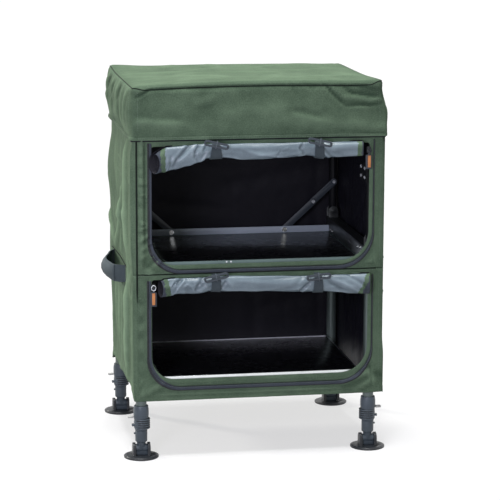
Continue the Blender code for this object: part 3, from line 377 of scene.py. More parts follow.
# ---------------------------------------------------------------- leg collars
# A slate plastic collar is pushed on each post's foot. Its grip is ribbed
# round the inner side, and a hook and a thumb tab stand on the outer side.
def join_pieces(name, made, merge=0.0):
    """Makes the pieces one. Points closer than merge are welded and the faces turned outwards."""
    only(*made)
    if len(made) > 1:
        bpy.ops.object.join()
    if merge:
        bpy.ops.object.mode_set(mode="EDIT")
        bpy.ops.mesh.select_all(action="SELECT")
        bpy.ops.mesh.remove_doubles(threshold=merge)
        face_outwards()
    made[0].name = name
    return made[0]


collar_plastic = moulded("slate collar plastic", dye(60, 70, 78), dye(94, 106, 116), 0.34)
groove_plastic = moulded("collar groove plastic", dye(16, 18, 21), dye(30, 34, 38), 0.5)
rib_count, lowest_rib, rib_pitch = 5, 0.0690, 0.0050
bpy.ops.mesh.primitive_torus_add(
    major_segments=40, minor_segments=8, major_radius=0.0172, minor_radius=0.0014, location=(0, 0, 0)
)
rib = bpy.context.object
bpy.ops.object.mode_set(mode="EDIT")
bpy.ops.mesh.select_all(action="SELECT")
bpy.ops.transform.resize(value=(1, 1, 1.25))
bpy.ops.object.mode_set(mode="OBJECT")
for side, end, x, y in corners:
    worked_copy(f"leg_collar_{end}_{side}", f"collar_{end}_{side}", "frame", "leg_plastic", collar_plastic, 0.0006, 3)
    ribs = []
    for row in range(rib_count):
        spot = (x - math.copysign(0.0020, x), y, lowest_rib + rib_pitch * row)
        ribs.append(another(rib, "grip rib", Matrix.Translation(spot)))
    grip = join_pieces(f"collar_ribs_{end}_{side}", ribs)
    bpy.ops.object.shade_smooth()
    fit(grip, "frame", "leg_plastic", collar_plastic)
    bpy.ops.mesh.primitive_cylinder_add(
        vertices=48, radius=0.0176, depth=0.0235, location=(x - math.copysign(0.0017, x), y, 0.0792)
    )
    groove = bpy.context.object
    bpy.ops.object.transform_apply(location=True, rotation=False, scale=False)
    smooth()
    groove.name = f"collar_groove_{end}_{side}"
    fit(groove, "frame", "leg_plastic", groove_plastic)
bpy.data.objects.remove(rib)


# ---------------------------------------------------------------- shelves
# Two black laminate boards lie in folded aluminium rims. Each rim has a
# raised lip along its front, and the bottom rim's arms reach the rear posts.
def brushed(name, dark, light, rough, along, metal=1.0):
    """Anodised aluminium with the fine lines of brushing, which run along one axis."""
    made = Finish(name, Metallic=metal)
    spot = made.place()
    pull = [60.0, 60.0, 60.0]
    pull[along] = 1.2
    lines = made.node("VectorMath", {0: spot, 1: tuple(pull)}, operation="MULTIPLY")
    lines = made.node("TexNoise", {"Vector": lines, "Scale": 40.0, "Detail": 4.0, "Roughness": 0.7})
    patches = made.mottle(spot, 0.06, 4)
    made.feed(
        Base_Color=made.mix(lines * 0.5 + patches * 0.5, dark, light),
        Roughness=rough + 0.25 * (lines - 0.5) + 0.15 * (patches - 0.5),
    )
    made.bump(lines, 0.00004)
    return made


laminate = Finish("black shelf laminate", Specular_IOR_Level=0.36, Coat_Roughness=0.1)
spot = laminate.place()
grain, smear = laminate.mottle(spot, 0.0009, 2), laminate.mottle(spot, 0.07, 5, 0.6)
laminate.feed(
    Base_Color=laminate.mix(smear, dye(17, 18, 20), dye(27, 28, 31)),
    Roughness=0.17 + 0.16 * smear + 0.06 * grain,
    Coat_Weight=smear * 0.15,
)
laminate.bump(grain, 0.00003)
# Both rims are the same aluminium. The middle one is given darker and greenish as painted shade under the rolled door,
# and the bottom one pale as painted light from the floor.
rim_painted_shade = brushed("aluminium rim in painted shade", dye(78, 96, 95), dye(116, 136, 134), 0.46, 0, 0.5)
rim_painted_light = brushed("aluminium rim in painted light", dye(206, 212, 214), dye(238, 242, 243), 0.3, 0)
for level, metal in (("middle", rim_painted_shade), ("bottom", rim_painted_light)):
    worked_copy(f"{level}_board", f"{level}_shelf_board", "frame", "shelf_black", laminate, 0.0006)
    worked_copy(f"{level}_rim", f"{level}_shelf_rim", "frame", "aluminium", metal)


def small_bar(name, size, place, radius, turns):
    """A small bar of that size with rounded edges."""
    made = block(size, place)
    bpy.ops.object.mode_set(mode="EDIT")
    bpy.ops.mesh.bevel(offset=radius, segments=turns)
    bpy.ops.object.mode_set(mode="OBJECT")
    smooth()
    made.name = name
    return made


# A pale bead along the bottom shelf's rear edge: painted light, for the bright line where light comes in behind the
# shelf.
painted_light_edge = moulded("pale shelf edging", dye(232, 238, 244), dye(248, 251, 254), 0.25)
bead = small_bar("bottom_shelf_rear_edging", (0.492, 0.0022, 0.0026), (0, 0.1802, 0.1761), 0.0008, 3)
fit(bead, "frame", "aluminium", painted_light_edge)


# ---------------------------------------------------------------- rivets
# Bright zinc rivets with low domed heads hold the bar, the stays, the hinge
# rails and the top brackets. One head is made, then copied to each place.
def plated(name, metal, dark, light, bright, cloudy):
    """Zinc plate with small clouds in it. bright is its least roughness, and cloudy is what the clouds add."""
    made = Finish(name, Metallic=metal)
    mark = made.mottle(made.place(), 0.0012, 3)
    made.feed(Base_Color=made.mix(mark, dark, light), Roughness=bright + cloudy * mark)
    made.bump(mark, 0.00006)
    return made


zinc = plated("bright zinc", 0.6, dye(196, 202, 208), dye(236, 240, 244), 0.16, 0.25)
polished = plated("polished zinc", 1.0, dye(236, 240, 244), dye(252, 254, 255), 0.06, 0.12)
bpy.ops.mesh.primitive_cylinder_add(vertices=20, radius=1, depth=0.62, location=(0, 0, 0.31))
head = bpy.context.object
bpy.ops.object.mode_set(mode="EDIT")
pick(head, lambda edge: all(vert.co.z > 0.5 for vert in edge.verts), "edges")
bpy.ops.mesh.bevel(offset=0.55, segments=4, profile=0.55)
bpy.ops.mesh.select_all(action="DESELECT")
pick(head, lambda face: len(face.verts) > 8 and face.calc_center_median().z > 0.3)
bpy.ops.mesh.inset(thickness=0.12, depth=0)
bpy.ops.mesh.inset(thickness=0.1, depth=-0.12)
bpy.ops.object.mode_set(mode="OBJECT")
smooth(50)


def rivet_row(name, body, places, facing, radius, finish=zinc):
    """Sets a rivet head of that radius at each place, facing that way."""
    turned = Vector(facing).to_track_quat("Z", "Y").to_matrix().to_4x4() @ Matrix.Scale(radius, 4)
    heads = [another(head, "rivet", Matrix.Translation(place) @ turned) for place in places]
    fit(join_pieces(name, heads), body, "pin_white", finish)


TO_FRONT = (0, -1, 0)
rivet_row("rim_rivets", "frame", [(x, -0.2156, 0.4506) for x in (-0.070, -0.060)], TO_FRONT, 0.0020)


# ---------------------------------------------------------------- rear bar
# A painted flat bar runs along the back of the middle shelf, and a
# bright rivet near each end holds the foot of a knee stay. The bar's pale grey
# colour is painted light: lighter than its own dark paint, for the light through the doorways.
bar_paint_painted_light = painted("pale bar paint, painted light", dye(170, 183, 195), dye(196, 208, 219), 0.42)
worked_copy("rear_bar", "rear_flat_bar", "frame", "frame_black", bar_paint_painted_light)
stay_foot_x, stay_foot_z = 0.140, 0.448
bar_places = [(hand * stay_foot_x, 0.1834, stay_foot_z) for side, hand in HANDS]
rivet_row("bar_rivets", "frame", bar_places, TO_FRONT, 0.0060, polished)


# ---------------------------------------------------------------- hinge rails
# Each side frame folds on an aluminium angle that is riveted along the end
# of the middle shelf. Seven rivets show near the right rail's front end.
rail_painted_shade, rail_painted_light = dye(22, 25, 27), dye(206, 216, 216)
rail_metal = brushed("hinge rail aluminium", rail_painted_shade, rail_painted_light, 0.34, 1, 0.4)
spot = rail_metal.place()
# bright is painted light: up to 0.9 at the rail's front end below the shelf top and 0 further back, so the rail is
# painted near black inside the cupboard as painted shade and pale where the light falls in at the front.
bright = rail_metal.node("MapRange", {0: rail_metal.part(spot, 1), 1: -0.06, 2: -0.18, 3: 0.0, 4: 0.9})
bright = bright * rail_metal.node("MapRange", {0: rail_metal.part(spot, 2), 1: 0.466, 2: 0.470, 3: 1.0, 4: 0.0})
patches = rail_metal.mottle(spot, 0.02, 4)
rail_metal.feed(Base_Color=rail_metal.mix(bright + 0.1 * patches, rail_painted_shade, rail_painted_light))
rail_face = 0.2525
rail_places = [(-0.131, 0.4600), (-0.150, 0.4460), (-0.160, 0.4640), (-0.177, 0.4580), (-0.181, 0.4420)]
rail_places += [(-0.199, 0.4640), (-0.201, 0.4460), (0.150, 0.4460), (0.172, 0.4460)]
for side, hand in HANDS:
    worked_copy(f"hinge_rail_{side}", f"{side}_hinge_rail", "frame", "aluminium", rail_metal, 0.0006)
    places = [(hand * rail_face, y, z) for y, z in rail_places]
    rivet_row(f"{side}_rail_rivets", "frame", places, (-hand, 0, 0), 0.0044, polished)


# ---------------------------------------------------------------- upper frames
# A bent steel tube on each side carries the table top. It is painted black,
# turns on its hinge rail, and has a riveted bracket plate near the front.
frame_paint = painted("black tube paint", dye(12, 13, 16), dye(22, 24, 28), 0.58)
frame_paint.shader.inputs["Specular IOR Level"].default_value = 0.22
bracket_face = 0.2529
for side, hand in HANDS:
    worked_copy(f"upper_frame_{side}", f"{side}_upper_frame", f"upper_{side}", "frame_black", frame_paint, 0.0004)
    places = [(hand * bracket_face, y, z) for y in (-0.157, -0.193) for z in (0.632, 0.653)]
    rivet_row(f"{side}_bracket_rivets", f"upper_{side}", places, (-hand, 0, 0), 0.0042)


# ---------------------------------------------------------------- knee stays
# Two flat steel links on each side, dark grey, brace the upper frame from
# the rear bar. They meet at a riveted knee that breaks when it is folded.
stay_paint = painted("dark stay paint", dye(52, 59, 66), dye(74, 82, 90), 0.4)
stay_run, stay_rise, knee_share = 0.125, 0.114, 0.585
for side, hand in HANDS:
    for half in ("lower", "upper"):
        link = f"stay_{half}_{side}"
        worked_copy(link, f"{side}_stay_{half}_link", link, "stay_grey", stay_paint, 0.0004)
    for name, half, share, y, radius in (
        ("knee", "lower", knee_share, 0.1876, 0.0042),
        ("stay_head", "upper", 1.0, 0.1907, 0.0036),
    ):
        place = (hand * (stay_foot_x + stay_run * share), y, stay_foot_z + stay_rise * share)
        rivet_row(f"{side}_{name}_rivet", f"stay_{half}_{side}", [place], TO_FRONT, radius)
bpy.data.objects.remove(head)


# ---------------------------------------------------------------- table top
# A pale laminate board in an aluminium edge lies on the two upper frames and
# carries the hood. It lifts off with the hood.
table_metal = brushed("table top aluminium", dye(150, 156, 158), dye(186, 192, 194), 0.35, 0)
table = nodes["table_top"]
worked_copy("table_top", "table_top_board", table["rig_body"], table.data.materials[0].name, table_metal, 0.0010, 3)


# ---------------------------------------------------------------- cover front
# Green woven cloth with a black lining. Two panels are sewn together under
# the upper door, and each has a doorway with a turned and stitched edge.
def ease(t):
    """A smooth step from 0 to 1."""
    t = min(max(t, 0.0), 1.0)
    return t * t * (3 - 2 * t)


def hump(t):
    """A smooth ridge, 1 at its middle and gone by 2 to either side."""
    return math.exp(-t * t)


def rumple(x, y, z=0.0):
    """Soft noise from -1 to 1 with waves about 1 long."""
    return noise.noise(Vector((x, y, z)))


def spread(first, last, count):
    """Equal steps from first to last."""
    return [first + (last - first) * k / count for k in range(count + 1)]


def between(first, last, share):
    """The point at that share of the way from first to last."""
    return tuple(a + (b - a) * share for a, b in zip(first, last))


def as_piece(name, web):
    """Makes a piece of the mesh that was built in web."""
    data = bpy.data.meshes.new(name)
    web.to_mesh(data)
    web.free()
    piece = bpy.data.objects.new(name, data)
    scene.collection.objects.link(piece)
    return piece


def weave_sheet(name, columns, rows, place, merge=0.00001):
    """Makes a sheet. place(column, row) gives a point, its height as a fold and where it lies on the flat cut."""
    web = bmesh.new()
    fold = web.verts.layers.float.new("fold")
    cut = web.loops.layers.uv.new("cut")
    spots = []
    for row in rows:
        spots.append([])
        for column in columns:
            point, height, flat = place(column, row)
            vert = web.verts.new(point)
            vert[fold] = height
            spots[-1].append((vert, flat))
    for low, high in zip(spots, spots[1:]):
        for around in zip(low, low[1:], high[1:], high):
            face = web.faces.new([vert for vert, flat in around])
            face.smooth = True
            for loop, (vert, flat) in zip(face.loops, around):
                loop[cut].uv = flat
    return join_pieces(name, [as_piece(name, web)], merge)


def give_wall(piece, wall, out=1, lined=False):
    """The sheet gets its thickness, behind its face, and the lining gets the second finish."""
    only(piece)
    solid = piece.modifiers.new("wall", "SOLIDIFY")
    solid.thickness, solid.offset, solid.use_quality_normals = wall, -out, True
    solid.material_offset = int(lined)
    bpy.ops.object.modifier_apply(modifier="wall")
    return piece


def cloth(name, dark, light, pitch, rough, depth=0.00016, fold_shading=75.0, slub=0.75):
    """Woven cloth on its flat cut: warp over weft and uneven threads, with painted light on the fold ridges and
    painted shade in the hollows, as strong as fold_shading.
    """
    made = Finish(name, Specular_IOR_Level=0.15)
    cut = made.cut()
    warp, weft = made.part(cut, 0).wave(pitch), made.part(cut, 1).wave(pitch)
    threads, slubs = made.mottle(cut, pitch * 1.6, 2, 0.8), made.mottle(cut, 0.0032, 3, 0.9)
    patches, smudge = made.mottle(made.place(), 0.09, 5, 0.6), made.mottle(made.place(), 0.012, 4)
    fold = made.node("Attribute", {}, "Fac", attribute_name="fold")
    tone = 0.26 + (patches - 0.5) * 0.35 + (smudge - 0.5) * 0.2 + (threads - 0.5) * 0.5
    # The fold height times fold_shading paints light on raised cloth and shade in its hollows.
    tone = made.node("Clamp", {0: tone + (slubs - 0.5) * slub + fold * fold_shading})
    made.feed(Base_Color=made.mix(tone, dark, light), Roughness=rough + 0.12 * (threads - 0.5))
    made.bump((warp * weft) * 0.3 + threads * 0.7, depth)
    return made


cover_cloth = cloth("green cover cloth", dye(68, 88, 70), dye(146, 173, 142), 0.0012, 0.8)
black_lining = cloth("black lining", dye(22, 22, 29), dye(38, 38, 47), 0.0010, 0.5, 0.00016, 10.0, 0.6)
FRONT, EDGE = -0.2185, 0.2805
SEAM, HEM, HEAD, BELLY = 0.426, 0.1328, 0.832, 0.0130


def with_lining(panel, wall=0.0014):
    """The panel gets green cloth outside, black lining inside and the thickness of both."""
    for finish in (cover_cloth, black_lining):
        panel.data.materials.append(finish.material)
    return give_wall(panel, wall, lined=True)


def crease_height(lines, across, z, wobble=0.003):
    """Sharp folds drawn as lines: both ends, half width and height, with a shallow valley on one side."""
    high = 0.0
    for x0, z0, x1, z1, width, tall in lines:
        run = math.hypot(x1 - x0, z1 - z0)
        along = ((across - x0) * (x1 - x0) + (z - z0) * (z1 - z0)) / run
        off = ((across - x0) * (z1 - z0) - (z - z0) * (x1 - x0)) / run
        share = along / run
        if -0.3 < share < 1.3 and abs(off) < width * 4 + wobble:
            off += wobble * rumple(along * 30, x0 * 50)
            sharp = hump(off / width) - 0.45 * hump((off - width * 1.6) / width)
            high += tall * sharp * ease((share + 0.3) / 0.4) * ease((1.3 - share) / 0.5)
    return high


front_lines = [
    (-0.224, 0.453, -0.254, 0.428, 0.0050, 0.0022), (-0.262, 0.455, -0.230, 0.434, 0.0060, -0.0012),
    (-0.268, 0.634, -0.252, 0.633, 0.0022, 0.0018), (-0.268, 0.612, -0.252, 0.606, 0.0026, 0.0018),
    (-0.268, 0.548, -0.251, 0.541, 0.0030, 0.0020), (-0.268, 0.530, -0.250, 0.536, 0.0028, 0.0018),
    (-0.268, 0.505, -0.249, 0.516, 0.0040, 0.0020), (-0.266, 0.484, -0.246, 0.497, 0.0036, 0.0022),
    (-0.266, 0.468, -0.240, 0.472, 0.0040, 0.0018), (-0.270, 0.371, -0.262, 0.369, 0.0024, 0.0022),
    (-0.262, 0.150, -0.215, 0.172, 0.0060, 0.0014), (0.205, 0.160, 0.270, 0.185, 0.0060, 0.0020),
    (0.235, 0.142, 0.276, 0.166, 0.0050, 0.0018), (0.262, 0.200, 0.279, 0.172, 0.0050, -0.0016),
    (-0.200, 0.1475, 0.180, 0.1465, 0.0026, 0.0008), (0.262, 0.440, 0.279, 0.452, 0.0040, 0.0014),
]


def hem_fold(z, soft):
    """The turned-up hem: a step where the cloth is double, and a dip along its stitches."""
    return 0.0005 * (1 - ease((z - HEM - 0.013) / soft)) - 0.0004 * hump((z - HEM - 0.0138) / soft)


def front_puff(x, z):
    """How far the front cloth stands out from flat: its slack, the drag at the door corners and the seams."""
    high = 0.0010 * rumple(x * 9, z * 9, 3) + 0.0005 * rumple(x * 40, z * 40, 5)
    left = hump((x + 0.2655) / 0.0065)
    # A narrow groove beside the upper door's left zip. Its negative fold also paints the cloth darker there, as
    # painted shade along the strip's edge.
    high -= 0.0034 * hump((x + 0.2562) / 0.0024) * ease((z - 0.47) / 0.06) * ease((0.728 - z) / 0.02)
    high += left * 0.0024 * abs(math.sin(z * 130 + 3 * rumple(z * 14, 0, 8))) * ease((z - 0.43) / 0.05)
    high += 2.2 * crease_height(front_lines, x, z, 0.0012)
    high += left * 0.0014 * math.sin(z * 150 + 5 * rumple(z * 11, 4)) * ease((0.41 - z) / 0.05)
    high += hump((z - 0.147) / 0.012) * 0.0008 * rumple(x * 16, 0, 11)
    high += 0.0006 * hump((x + 0.2755) / 0.003) - 0.0006 * hump((x + 0.2710) / 0.0018)
    high -= 0.0008 * hump((z - SEAM) / 0.0016)
    return high + hem_fold(z, 0.0008)


def left_slack(z):
    """How far the left front corner bellies out at that height, in metres."""
    share = (0.35 + 0.65 * ease((z - 0.40) / 0.12)) * ease((0.745 - z) / 0.05) * ease((z - HEM) / 0.04)
    return 0.0070 * share


def right_slack(z):
    """How far the right front corner bellies out at that height, in metres."""
    return (BELLY + 0.003 * ease((0.27 - z) / 0.05)) * ease((0.770 - z) / 0.03)


def front_point(x, z, extra=0.0):
    """A point on the front cloth, rounded back at the two upright corners, which both belly out."""
    turn_in, deepest = 0.004, -0.0012
    high = front_puff(x, z) + extra
    tube = 0.0040 * hump((x + 0.2605) / 0.0062) * ease((z - 0.43) / 0.04) * ease((0.735 - z) / 0.02)
    past = max(abs(x) - (EDGE - turn_in), 0.0)
    x += right_slack(z) * ease((x - 0.272) / 0.0085)
    x -= left_slack(z) * ease((-x - 0.2735) / 0.0060)
    out = max(high + tube, deepest)
    return Vector((x, FRONT - out + turn_in - math.sqrt(max(turn_in**2 - past**2, 0.0)), z)), high


def doorway(low, high):
    """The door opening's four corners as arcs, from the lower right one up and round to the left."""
    left, right, near, far, top = -0.241024, 0.257024, 0.052, 0.064, 0.006
    arcs = []
    for cx, cz, size, start in (
        (right - far, low + far, far, -90),
        (right - top, high - top, top, 0),
        (left + top, high - top, top, 90),
        (left + near, low + near, near, 180),
    ):
        steps = 12 if size > 0.02 else 4
        angles = [math.radians(start + 90 * k / steps) for k in range(steps + 1)]
        arcs.append([(cx + size * math.cos(angle), cz + size * math.sin(angle)) for angle in angles])
    return arcs


def door_panel(name, low, high, base, top):
    """One front panel round a doorway, in rings from the doorway out to its border."""
    ring = []
    arcs = doorway(low, high)
    border = ((EDGE, base), (EDGE, top), (-EDGE, top), (-EDGE, base))
    for number, arc in enumerate(arcs):
        bx, bz = border[number]
        first = (arc[0][0], bz) if number in (0, 2) else (bx, arc[0][1])
        last = (bx, arc[-1][1]) if number in (0, 2) else (arc[-1][0], bz)
        half = (len(arc) - 1) / 2
        for k, spot in enumerate(arc):
            share = k / half
            ends = (first, (bx, bz)) if share <= 1 else ((bx, bz), last)
            share -= share > 1
            ring.append((spot, between(*ends, share)))
        after = arcs[(number + 1) % 4][0]
        count = max(int(math.dist(arc[-1], after) / 0.005), 2)
        goal = (bx, after[1]) if number in (0, 2) else (after[0], bz)
        for k in range(1, count):
            ring.append((between(arc[-1], after, k / count), between(last, goal, k / count)))
    ring.append(ring[0])

    def place(column, row):
        x, z = between(*ring[column], row)
        off = math.dist(*ring[column]) * row
        turned = 0.0009 * (1 - ease((off - 0.0085) / 0.0012)) * (0.6 + 0.4 * ease(off / 0.001))
        wavy = 0.0007 * hump((off - 0.005) / 0.004) * rumple(x * 45, z * 45, 2)
        point, height = front_point(x, z, turned + wavy)
        return point, height, (point.x, z)

    rows = [0, 0.012, 0.05, 0.11, 0.17, 0.23, 0.29, 0.35, 0.41, 0.47, 0.53, 0.59, 0.65, 0.71, 0.77]
    rows += [0.82, 0.87, 0.91, 0.945, 0.975, 1.0]
    return weave_sheet(name, range(len(ring)), rows, place, 0.00002)


panels = [
    with_lining(door_panel("front panel upper", 0.447, 0.716, SEAM, HEAD)),
    with_lining(door_panel("front panel lower", 0.183, 0.414, HEM, SEAM)),
]
front_cover = join_pieces("front_panels", panels)
fit(front_cover, "frame", "cover_cloth")
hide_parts("cover_front")


# ---------------------------------------------------------------- cover sides and back
# The side and back panels are the same green cloth over black lining. They
# hang from the top and stand away from the frame in long, soft upright folds.
def folds(seed, count, span, tall):
    """Long soft folds: where each crosses mid height, its lean, width, height and how far up it reaches."""
    dice = random.Random(seed)
    made = []
    for k in range(count):
        across = span[0] + (span[1] - span[0]) * (k + dice.uniform(0.2, 0.8)) / count
        made.append((across, dice.uniform(-0.14, 0.14), dice.uniform(0.008, 0.02), dice.uniform(0.5, 1.0) * tall,
                     dice.uniform(0.14, 0.3), dice.uniform(0.45, 0.68)))
    return made


def fold_height(made, across, z):
    """How far those folds lift the cloth at that place."""
    high = 0.0
    for middle, slant, width, tall, low, top in made:
        line = middle + slant * (z - 0.4) + 0.006 * rumple(z * 9, middle * 40)
        high += tall * hump((across - line) / width) * ease((z - low + 0.07) / 0.1) * ease((top - z) / 0.12)
    return high


def hanging_panel(name, half, point, made, lines, calm, raised=0.0, crumple=1.0):
    """A side or back panel between its two upright corner seams, with its hem drawn up between them."""
    columns, rows = spread(-half, half, int(2 * half / 0.005)), spread(HEM, HEAD, 124)

    def place(across, z):
        seam = ease((half - abs(across)) / 0.012)
        high = (0.0003 + fold_height(made, across, z)) * seam * ease((0.70 - z) / 0.06)
        warp = across + 0.012 * rumple(across * 8, z * 6, half * 5)
        ridge = 1 - 2.6 * abs(rumple(warp * 26, z * 4.2, half * 9))
        rough = 0.0018 * max(ridge, 0.0) ** 2
        ridge = 1 - 3.2 * abs(rumple(warp * 16 + z * 9, z * 11 - warp * 5, half * 3))
        rough += 0.0014 * max(ridge, 0.0) ** 2
        high += 0.6 * crumple * rough * seam * ease((0.71 - z) / 0.04)
        high += 1.1 * crease_height(lines, across, z, 0.006) * ease((half - abs(across)) / 0.010)
        high += 0.0025 * seam * ease((0.17 - z) / 0.05) * (0.5 + rumple(across * 12, 1.0))
        high *= 1 - calm(across, z)
        high = max(high + hem_fold(z, 0.001), -0.0002)
        lift = raised * ease((half - abs(across)) / 0.035) * (1.0 - 0.45 * ease((across + half) / (2 * half)))
        return point(across, z + lift * ease((0.27 - z) / 0.12), high), high, (across, z)

    return weave_sheet(name, columns, rows, place)


def near_handle(y, z):
    """1 where the handle lies on the cloth, 0 clear of it."""
    return ease((z - 0.362) / 0.014) * ease((0.438 - z) / 0.014) * ease((y + 0.11) / 0.02) * ease((0.182 - y) / 0.02)


def side_point(hand, y, z, high):
    """A point on a side panel. Both bellies lean on their front corners, the left one on its rear corner too."""
    near = 1 - ease((y + 0.18) / 0.38)
    if hand > 0:
        slack = right_slack(z) * near
    else:
        rear = 0.0095 * hump((z - 0.612) / 0.062) + 0.0062 * hump((z - 0.42) / 0.13) * ease((z - HEM) / 0.08)
        slack = left_slack(z) * near + rear * ease((y - 0.02) / 0.18) * ease((0.70 - z) / 0.03)
    return Vector((hand * (EDGE + high + slack), y, z))


side_lines = [
    (0.215, 0.500, 0.120, 0.442, 0.013, 0.0045), (-0.055, 0.600, -0.010, 0.528, 0.013, 0.0060),
    (-0.010, 0.528, 0.098, 0.440, 0.013, 0.0060), (-0.020, 0.566, -0.012, 0.450, 0.011, 0.0040),
    (-0.135, 0.700, -0.128, 0.552, 0.018, 0.0065), (-0.128, 0.552, -0.146, 0.480, 0.013, 0.0040),
    (0.042, 0.662, -0.116, 0.666, 0.0026, 0.0016), (0.044, 0.629, -0.075, 0.627, 0.0026, 0.0014),
    (0.150, 0.660, 0.110, 0.560, 0.030, -0.0040), (-0.100, 0.560, -0.095, 0.490, 0.020, -0.0034),
    (-0.130, 0.372, -0.118, 0.165, 0.013, 0.0095), (-0.176, 0.362, -0.172, 0.190, 0.014, -0.0040),
    (-0.055, 0.352, -0.118, 0.360, 0.014, 0.0030), (0.062, 0.356, -0.050, 0.345, 0.012, -0.0034),
    (0.035, 0.320, 0.043, 0.188, 0.012, 0.0036), (-0.050, 0.275, -0.052, 0.212, 0.012, 0.0032),
    (0.150, 0.330, 0.140, 0.205, 0.028, -0.0034), (0.120, 0.340, 0.110, 0.250, 0.016, 0.0022),
    (-0.212, 0.634, -0.170, 0.637, 0.0040, 0.0022), (-0.212, 0.449, -0.165, 0.455, 0.0040, 0.0024),
    (-0.214, 0.371, -0.175, 0.368, 0.0040, 0.0026), (-0.200, 0.425, -0.165, 0.395, 0.009, 0.0028),
]
HALF_SIDE = 0.2163
for side, hand, seed, raised in (("left", -1, 5, 0.026), ("right", 1, 12, 0.0)):
    panel = with_lining(hanging_panel(
        f"{side}_side_panel", HALF_SIDE, lambda y, z, high, hand=hand: side_point(hand, y, z, high),
        folds(seed, 5, (-0.20, 0.20), 0.0040), side_lines, near_handle, raised,
    ))
    fit(panel, "frame", "cover_cloth")
    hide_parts(f"cover_{side}")


def back_point(x, z, high):
    """A point on the back panel, drawn out at its left edge to the left side panel's rear corner."""
    edge = side_point(-1, HALF_SIDE, z, 0.0).x + EDGE
    return Vector((x + edge * ease((-x - 0.240) / 0.0405), -FRONT + high, z))


back_lines = [
    (-0.200, 0.640, 0.060, 0.610, 0.016, 0.0026), (0.020, 0.560, 0.240, 0.600, 0.018, 0.0022),
    (-0.240, 0.520, -0.020, 0.500, 0.016, 0.0020), (-0.150, 0.330, 0.120, 0.300, 0.020, 0.0018),
    (0.100, 0.250, 0.240, 0.280, 0.018, 0.0020),
]
panel = with_lining(hanging_panel(
    "back_panel", EDGE, back_point, folds(31, 4, (-0.26, 0.26), 0.0018), back_lines, lambda x, z: 0.0, 0.0, 0.4,
))
fit(panel, "frame", "cover_cloth")
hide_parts("cover_back")


# ---------------------------------------------------------------- zips
# Each door closes on a dark coil zip down the left, along the foot and up the
# right. Half of the tape and coil stays sewn to the panel round the doorway.
def zip_line(left, right, base, top):
    """Points every 2 mm down, along and up the zip: x, z and the way that faces off the doorway."""
    turn_left, turn_right, pitch = 0.074, 0.082, 0.002
    corner = [(left, top), (left, base + turn_left)]
    for cx, size, start in ((left + turn_left, turn_left, 180), (right - turn_right, turn_right, 270)):
        arc = [math.radians(start + 90 * k / 24) for k in range(25)]
        corner += [(cx + size * math.cos(a), base + size + size * math.sin(a)) for a in arc]
    corner.append((right, top))
    line, spare = [], 0.0
    for first, second in zip(corner, corner[1:]):
        run = math.dist(first, second)
        if run < 1e-6:
            continue
        way = ((second[0] - first[0]) / run, (second[1] - first[1]) / run)
        while spare < run:
            line.append((first[0] + way[0] * spare, first[1] + way[1] * spare, way[1], -way[0]))
            spare += pitch
        spare -= run
    return line


OUT, UP, ALONG = Vector((0, -1, 0)), Vector((0, 0, 1)), Vector((1, 0, 0))


def beside(offsets, nx, nz):
    """How far off the zip's line: offsets for where it faces left, down and right, eased round the corners."""
    left, foot, right = offsets
    return left * max(-nx, 0) + foot * max(-nz, 0) + right * max(nx, 0)


def band_along(name, line, inner, outer, finish):
    """A flat band on the front cloth beside the zip, between two rows of offsets."""
    def place(column, row):
        x, z, nx, nz = line[column]
        off = beside(inner, nx, nz) + (beside(outer, nx, nz) - beside(inner, nx, nz)) * row
        point, high = front_point(x - nx * off, z - nz * off)
        point.y -= 0.0016 + 0.0004 * math.sin(math.pi * row)
        return point, 0.0, (column * 0.002, row * 0.01)

    band = weave_sheet(name, range(len(line)), [0, 0.25, 0.5, 0.75, 1], place)
    fit(give_wall(band, 0.0006), "frame", "zip_metal", finish)


def sew(name, spots, long, thick, body="frame", slot="cover_cloth"):
    """A run of stitches: each spot is where a thread shows, the way it runs and the way the cloth faces."""
    web = bmesh.new()
    for point, way, face in spots:
        side = way.cross(face).normalized() * thick
        ends = [web.verts.new(point + way * s * long / 2) for s in (-1, 1)]
        ring = [web.verts.new(point + d) for d in (side, face * thick, -side, -face * thick * 0.3)]
        for first, second in zip(ring, ring[1:] + ring[:1]):
            web.faces.new((ends[0], second, first))
            web.faces.new((ends[1], first, second))
    bmesh.ops.recalc_face_normals(web, faces=web.faces)
    fit(as_piece(name, web), body, slot, thread)


